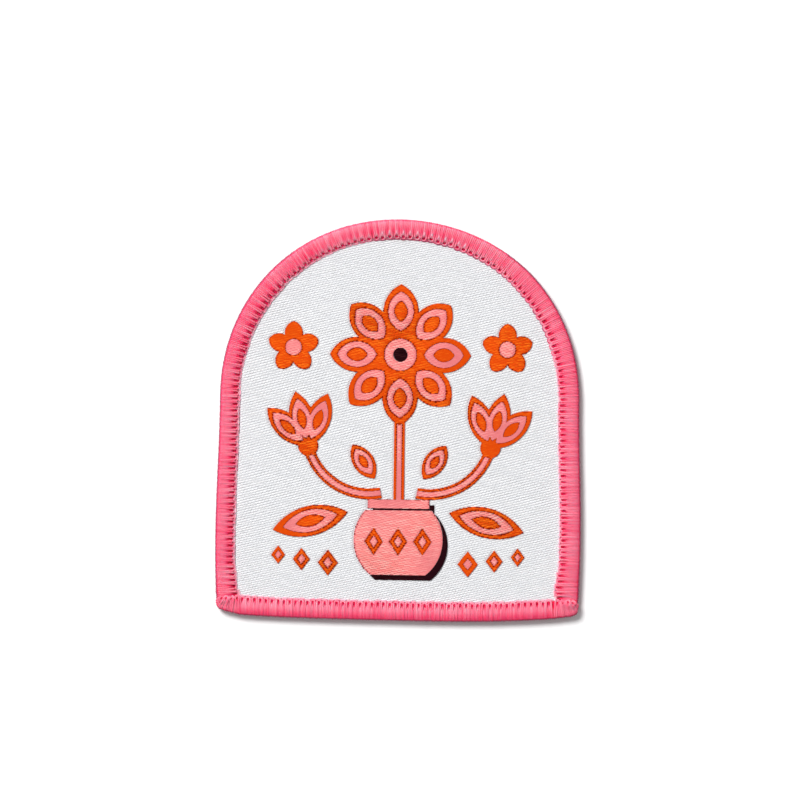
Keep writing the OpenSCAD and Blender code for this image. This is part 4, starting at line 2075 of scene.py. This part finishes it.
        # The shade column runs deep near the needle holes and along the band's inner half: painted shade
        # where the bed shows
        section = [
            # out   height               shade
            (0.2,   self.cloth_t - 0.05, 1.0),
            (0.35,  self.cloth_t + 0.03, 0.8),
            (0.55,  self.cloth_t + 0.06, 0.3),
            (1.0,   self.cloth_t + 0.1,  0.0),
        ]
        section += [
            (out, height - depth * mix(1.4, 0.8, ease((out - 1) / 1.4)), float(ease((out - 1.4) / 1.2)))
            for out, height, *_ in self.turn_stations[2:7]
        ]
        section += [
            (out - depth * 0.8, mix(height, 1.1, 0.12), 1.0) for out, height, *_ in self.turn_stations[7:14]
        ]
        section += [(out, height + depth * 0.4, 1.0) for out, height, *_ in self.turn_stations[14:17]]
        section += [(1.1, 0.6, 0.5), (0.6, 1.0, 0.0)]
        rings = [line.rim(row[0]) for row in section]
        count = len(rings[0])
        points = np.vstack([
            np.column_stack([ring, np.full(count, row[1])]) for ring, row in zip(rings, section)
        ])
        faces = []
        for j in range(len(section)):
            for i in range(count):
                after, above = (i + 1) % count, (j + 1) % len(section)
                faces.append((j * count + i, above * count + i, above * count + after, j * count + after))
        shade = np.repeat([row[2] for row in section], count)
        mesh = mesh_from("edge_bed", points, [], faces, {"shade": shade})
        mesh.shade_smooth()
        bed = make_piece("edge_bed", mesh, EDGE_BED.material())
        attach(bed, "root")
        log.info("edge_bed: %d faces", len(mesh.polygons))


@dataclass
class Studio:
    """The table, the lights and the camera. Lengths are in metres.

    The photograph is 800 by 800 pixels. The patch's middle lies at middle_px in it, a pixel is
    pixel_mm across, and the patch is turned clockwise by turned_deg.
    """

    pixel_mm: float = 0.189
    image_px: float = 800.0
    middle_px: tuple[float, float] = (399.6, 420.4)
    turned_deg: float = 0.75
    camera_height: float = 1.3
    sensor_mm: float = 36.0
    table_half: float = 1.2
    sky: float = 0.35
    key_watts: float = 54.0
    key_size: float = 0.9
    key_at: tuple[float, float, float] = (-0.87, 1.07, 1.6)

    def build(self) -> None:
        """Make the table, the lights and the camera."""
        self._table()
        self._sky()
        self._key()
        self._camera()

    def _table(self) -> None:
        """Make the table, a plain face that the patch lies on."""
        reach = self.table_half
        mesh = bpy.data.meshes.new("table")
        corners = [(-reach, -reach, 0.0), (reach, -reach, 0.0), (reach, reach, 0.0), (-reach, reach, 0.0)]
        mesh.from_pydata(corners, [], [(0, 1, 2, 3)])
        table = make_piece("table", mesh, TableFinish().material())

    def _sky(self) -> None:
        """Light the scene evenly from all round."""
        world = bpy.data.worlds.new("studio")
        world.use_nodes = True
        graph = Graph(world.node_tree)
        glow = graph.add("ShaderNodeBackground", None, {
            "Color": (1.0, 1.0, 1.0, 1.0), "Strength": self.sky})
        graph.add("ShaderNodeOutputWorld", None, {"Surface": graph.out(glow)})
        bpy.context.scene.world = world

    def _key(self) -> None:
        """Hang a soft square light above the patch's top left."""
        data = bpy.data.lights.new("key", "AREA")
        data.size = self.key_size
        data.energy = self.key_watts
        light = bpy.data.objects.new("key", data)
        light.location = self.key_at
        x, y, z = self.key_at
        light.rotation_euler = (0.0, math.atan2(math.hypot(x, y), z), math.atan2(y, x))
        bpy.context.scene.collection.objects.link(light)

    def _camera(self) -> None:
        """Look straight down, with the patch where the photograph has it."""
        data = bpy.data.cameras.new("camera")
        data.sensor_width = self.sensor_mm
        data.lens = self.sensor_mm * self.camera_height / (self.pixel_mm * self.image_px * MM)
        data.clip_end = 10.0
        camera = bpy.data.objects.new("camera", data)
        turn = math.radians(self.turned_deg)
        right = (self.image_px / 2 - self.middle_px[0]) * self.pixel_mm * MM
        up = (self.middle_px[1] - self.image_px / 2) * self.pixel_mm * MM
        camera.location = (
            right * math.cos(turn) - up * math.sin(turn),
            right * math.sin(turn) + up * math.cos(turn),
            self.camera_height,
        )
        camera.rotation_euler = (0.0, 0.0, turn)
        bpy.context.scene.collection.objects.link(camera)
        bpy.context.scene.camera = camera


def main() -> None:
    """Load the frame, dress it, and set up the studio."""
    logging.basicConfig(level=logging.INFO, format="%(name)s %(message)s")
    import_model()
    low, high = (np.array(corner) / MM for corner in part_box("merrowed_edge"))
    cloth_t = float(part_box("ground_cloth")[1][2]) / MM
    weft_t = float(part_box("orange_weft")[1][2]) / MM - cloth_t
    outline = Outline(patch_w=float(high[0] - low[0]), patch_h=float(high[1] - low[1]))
    WovenCloth(outline, FlowerChart(), cloth_t, weft_t).build()
    MerrowedEdge(outline, cloth_t).build()
    Studio().build()
    bpy.context.scene.view_settings.view_transform = "Standard"


if __name__ == "__main__":
    main()
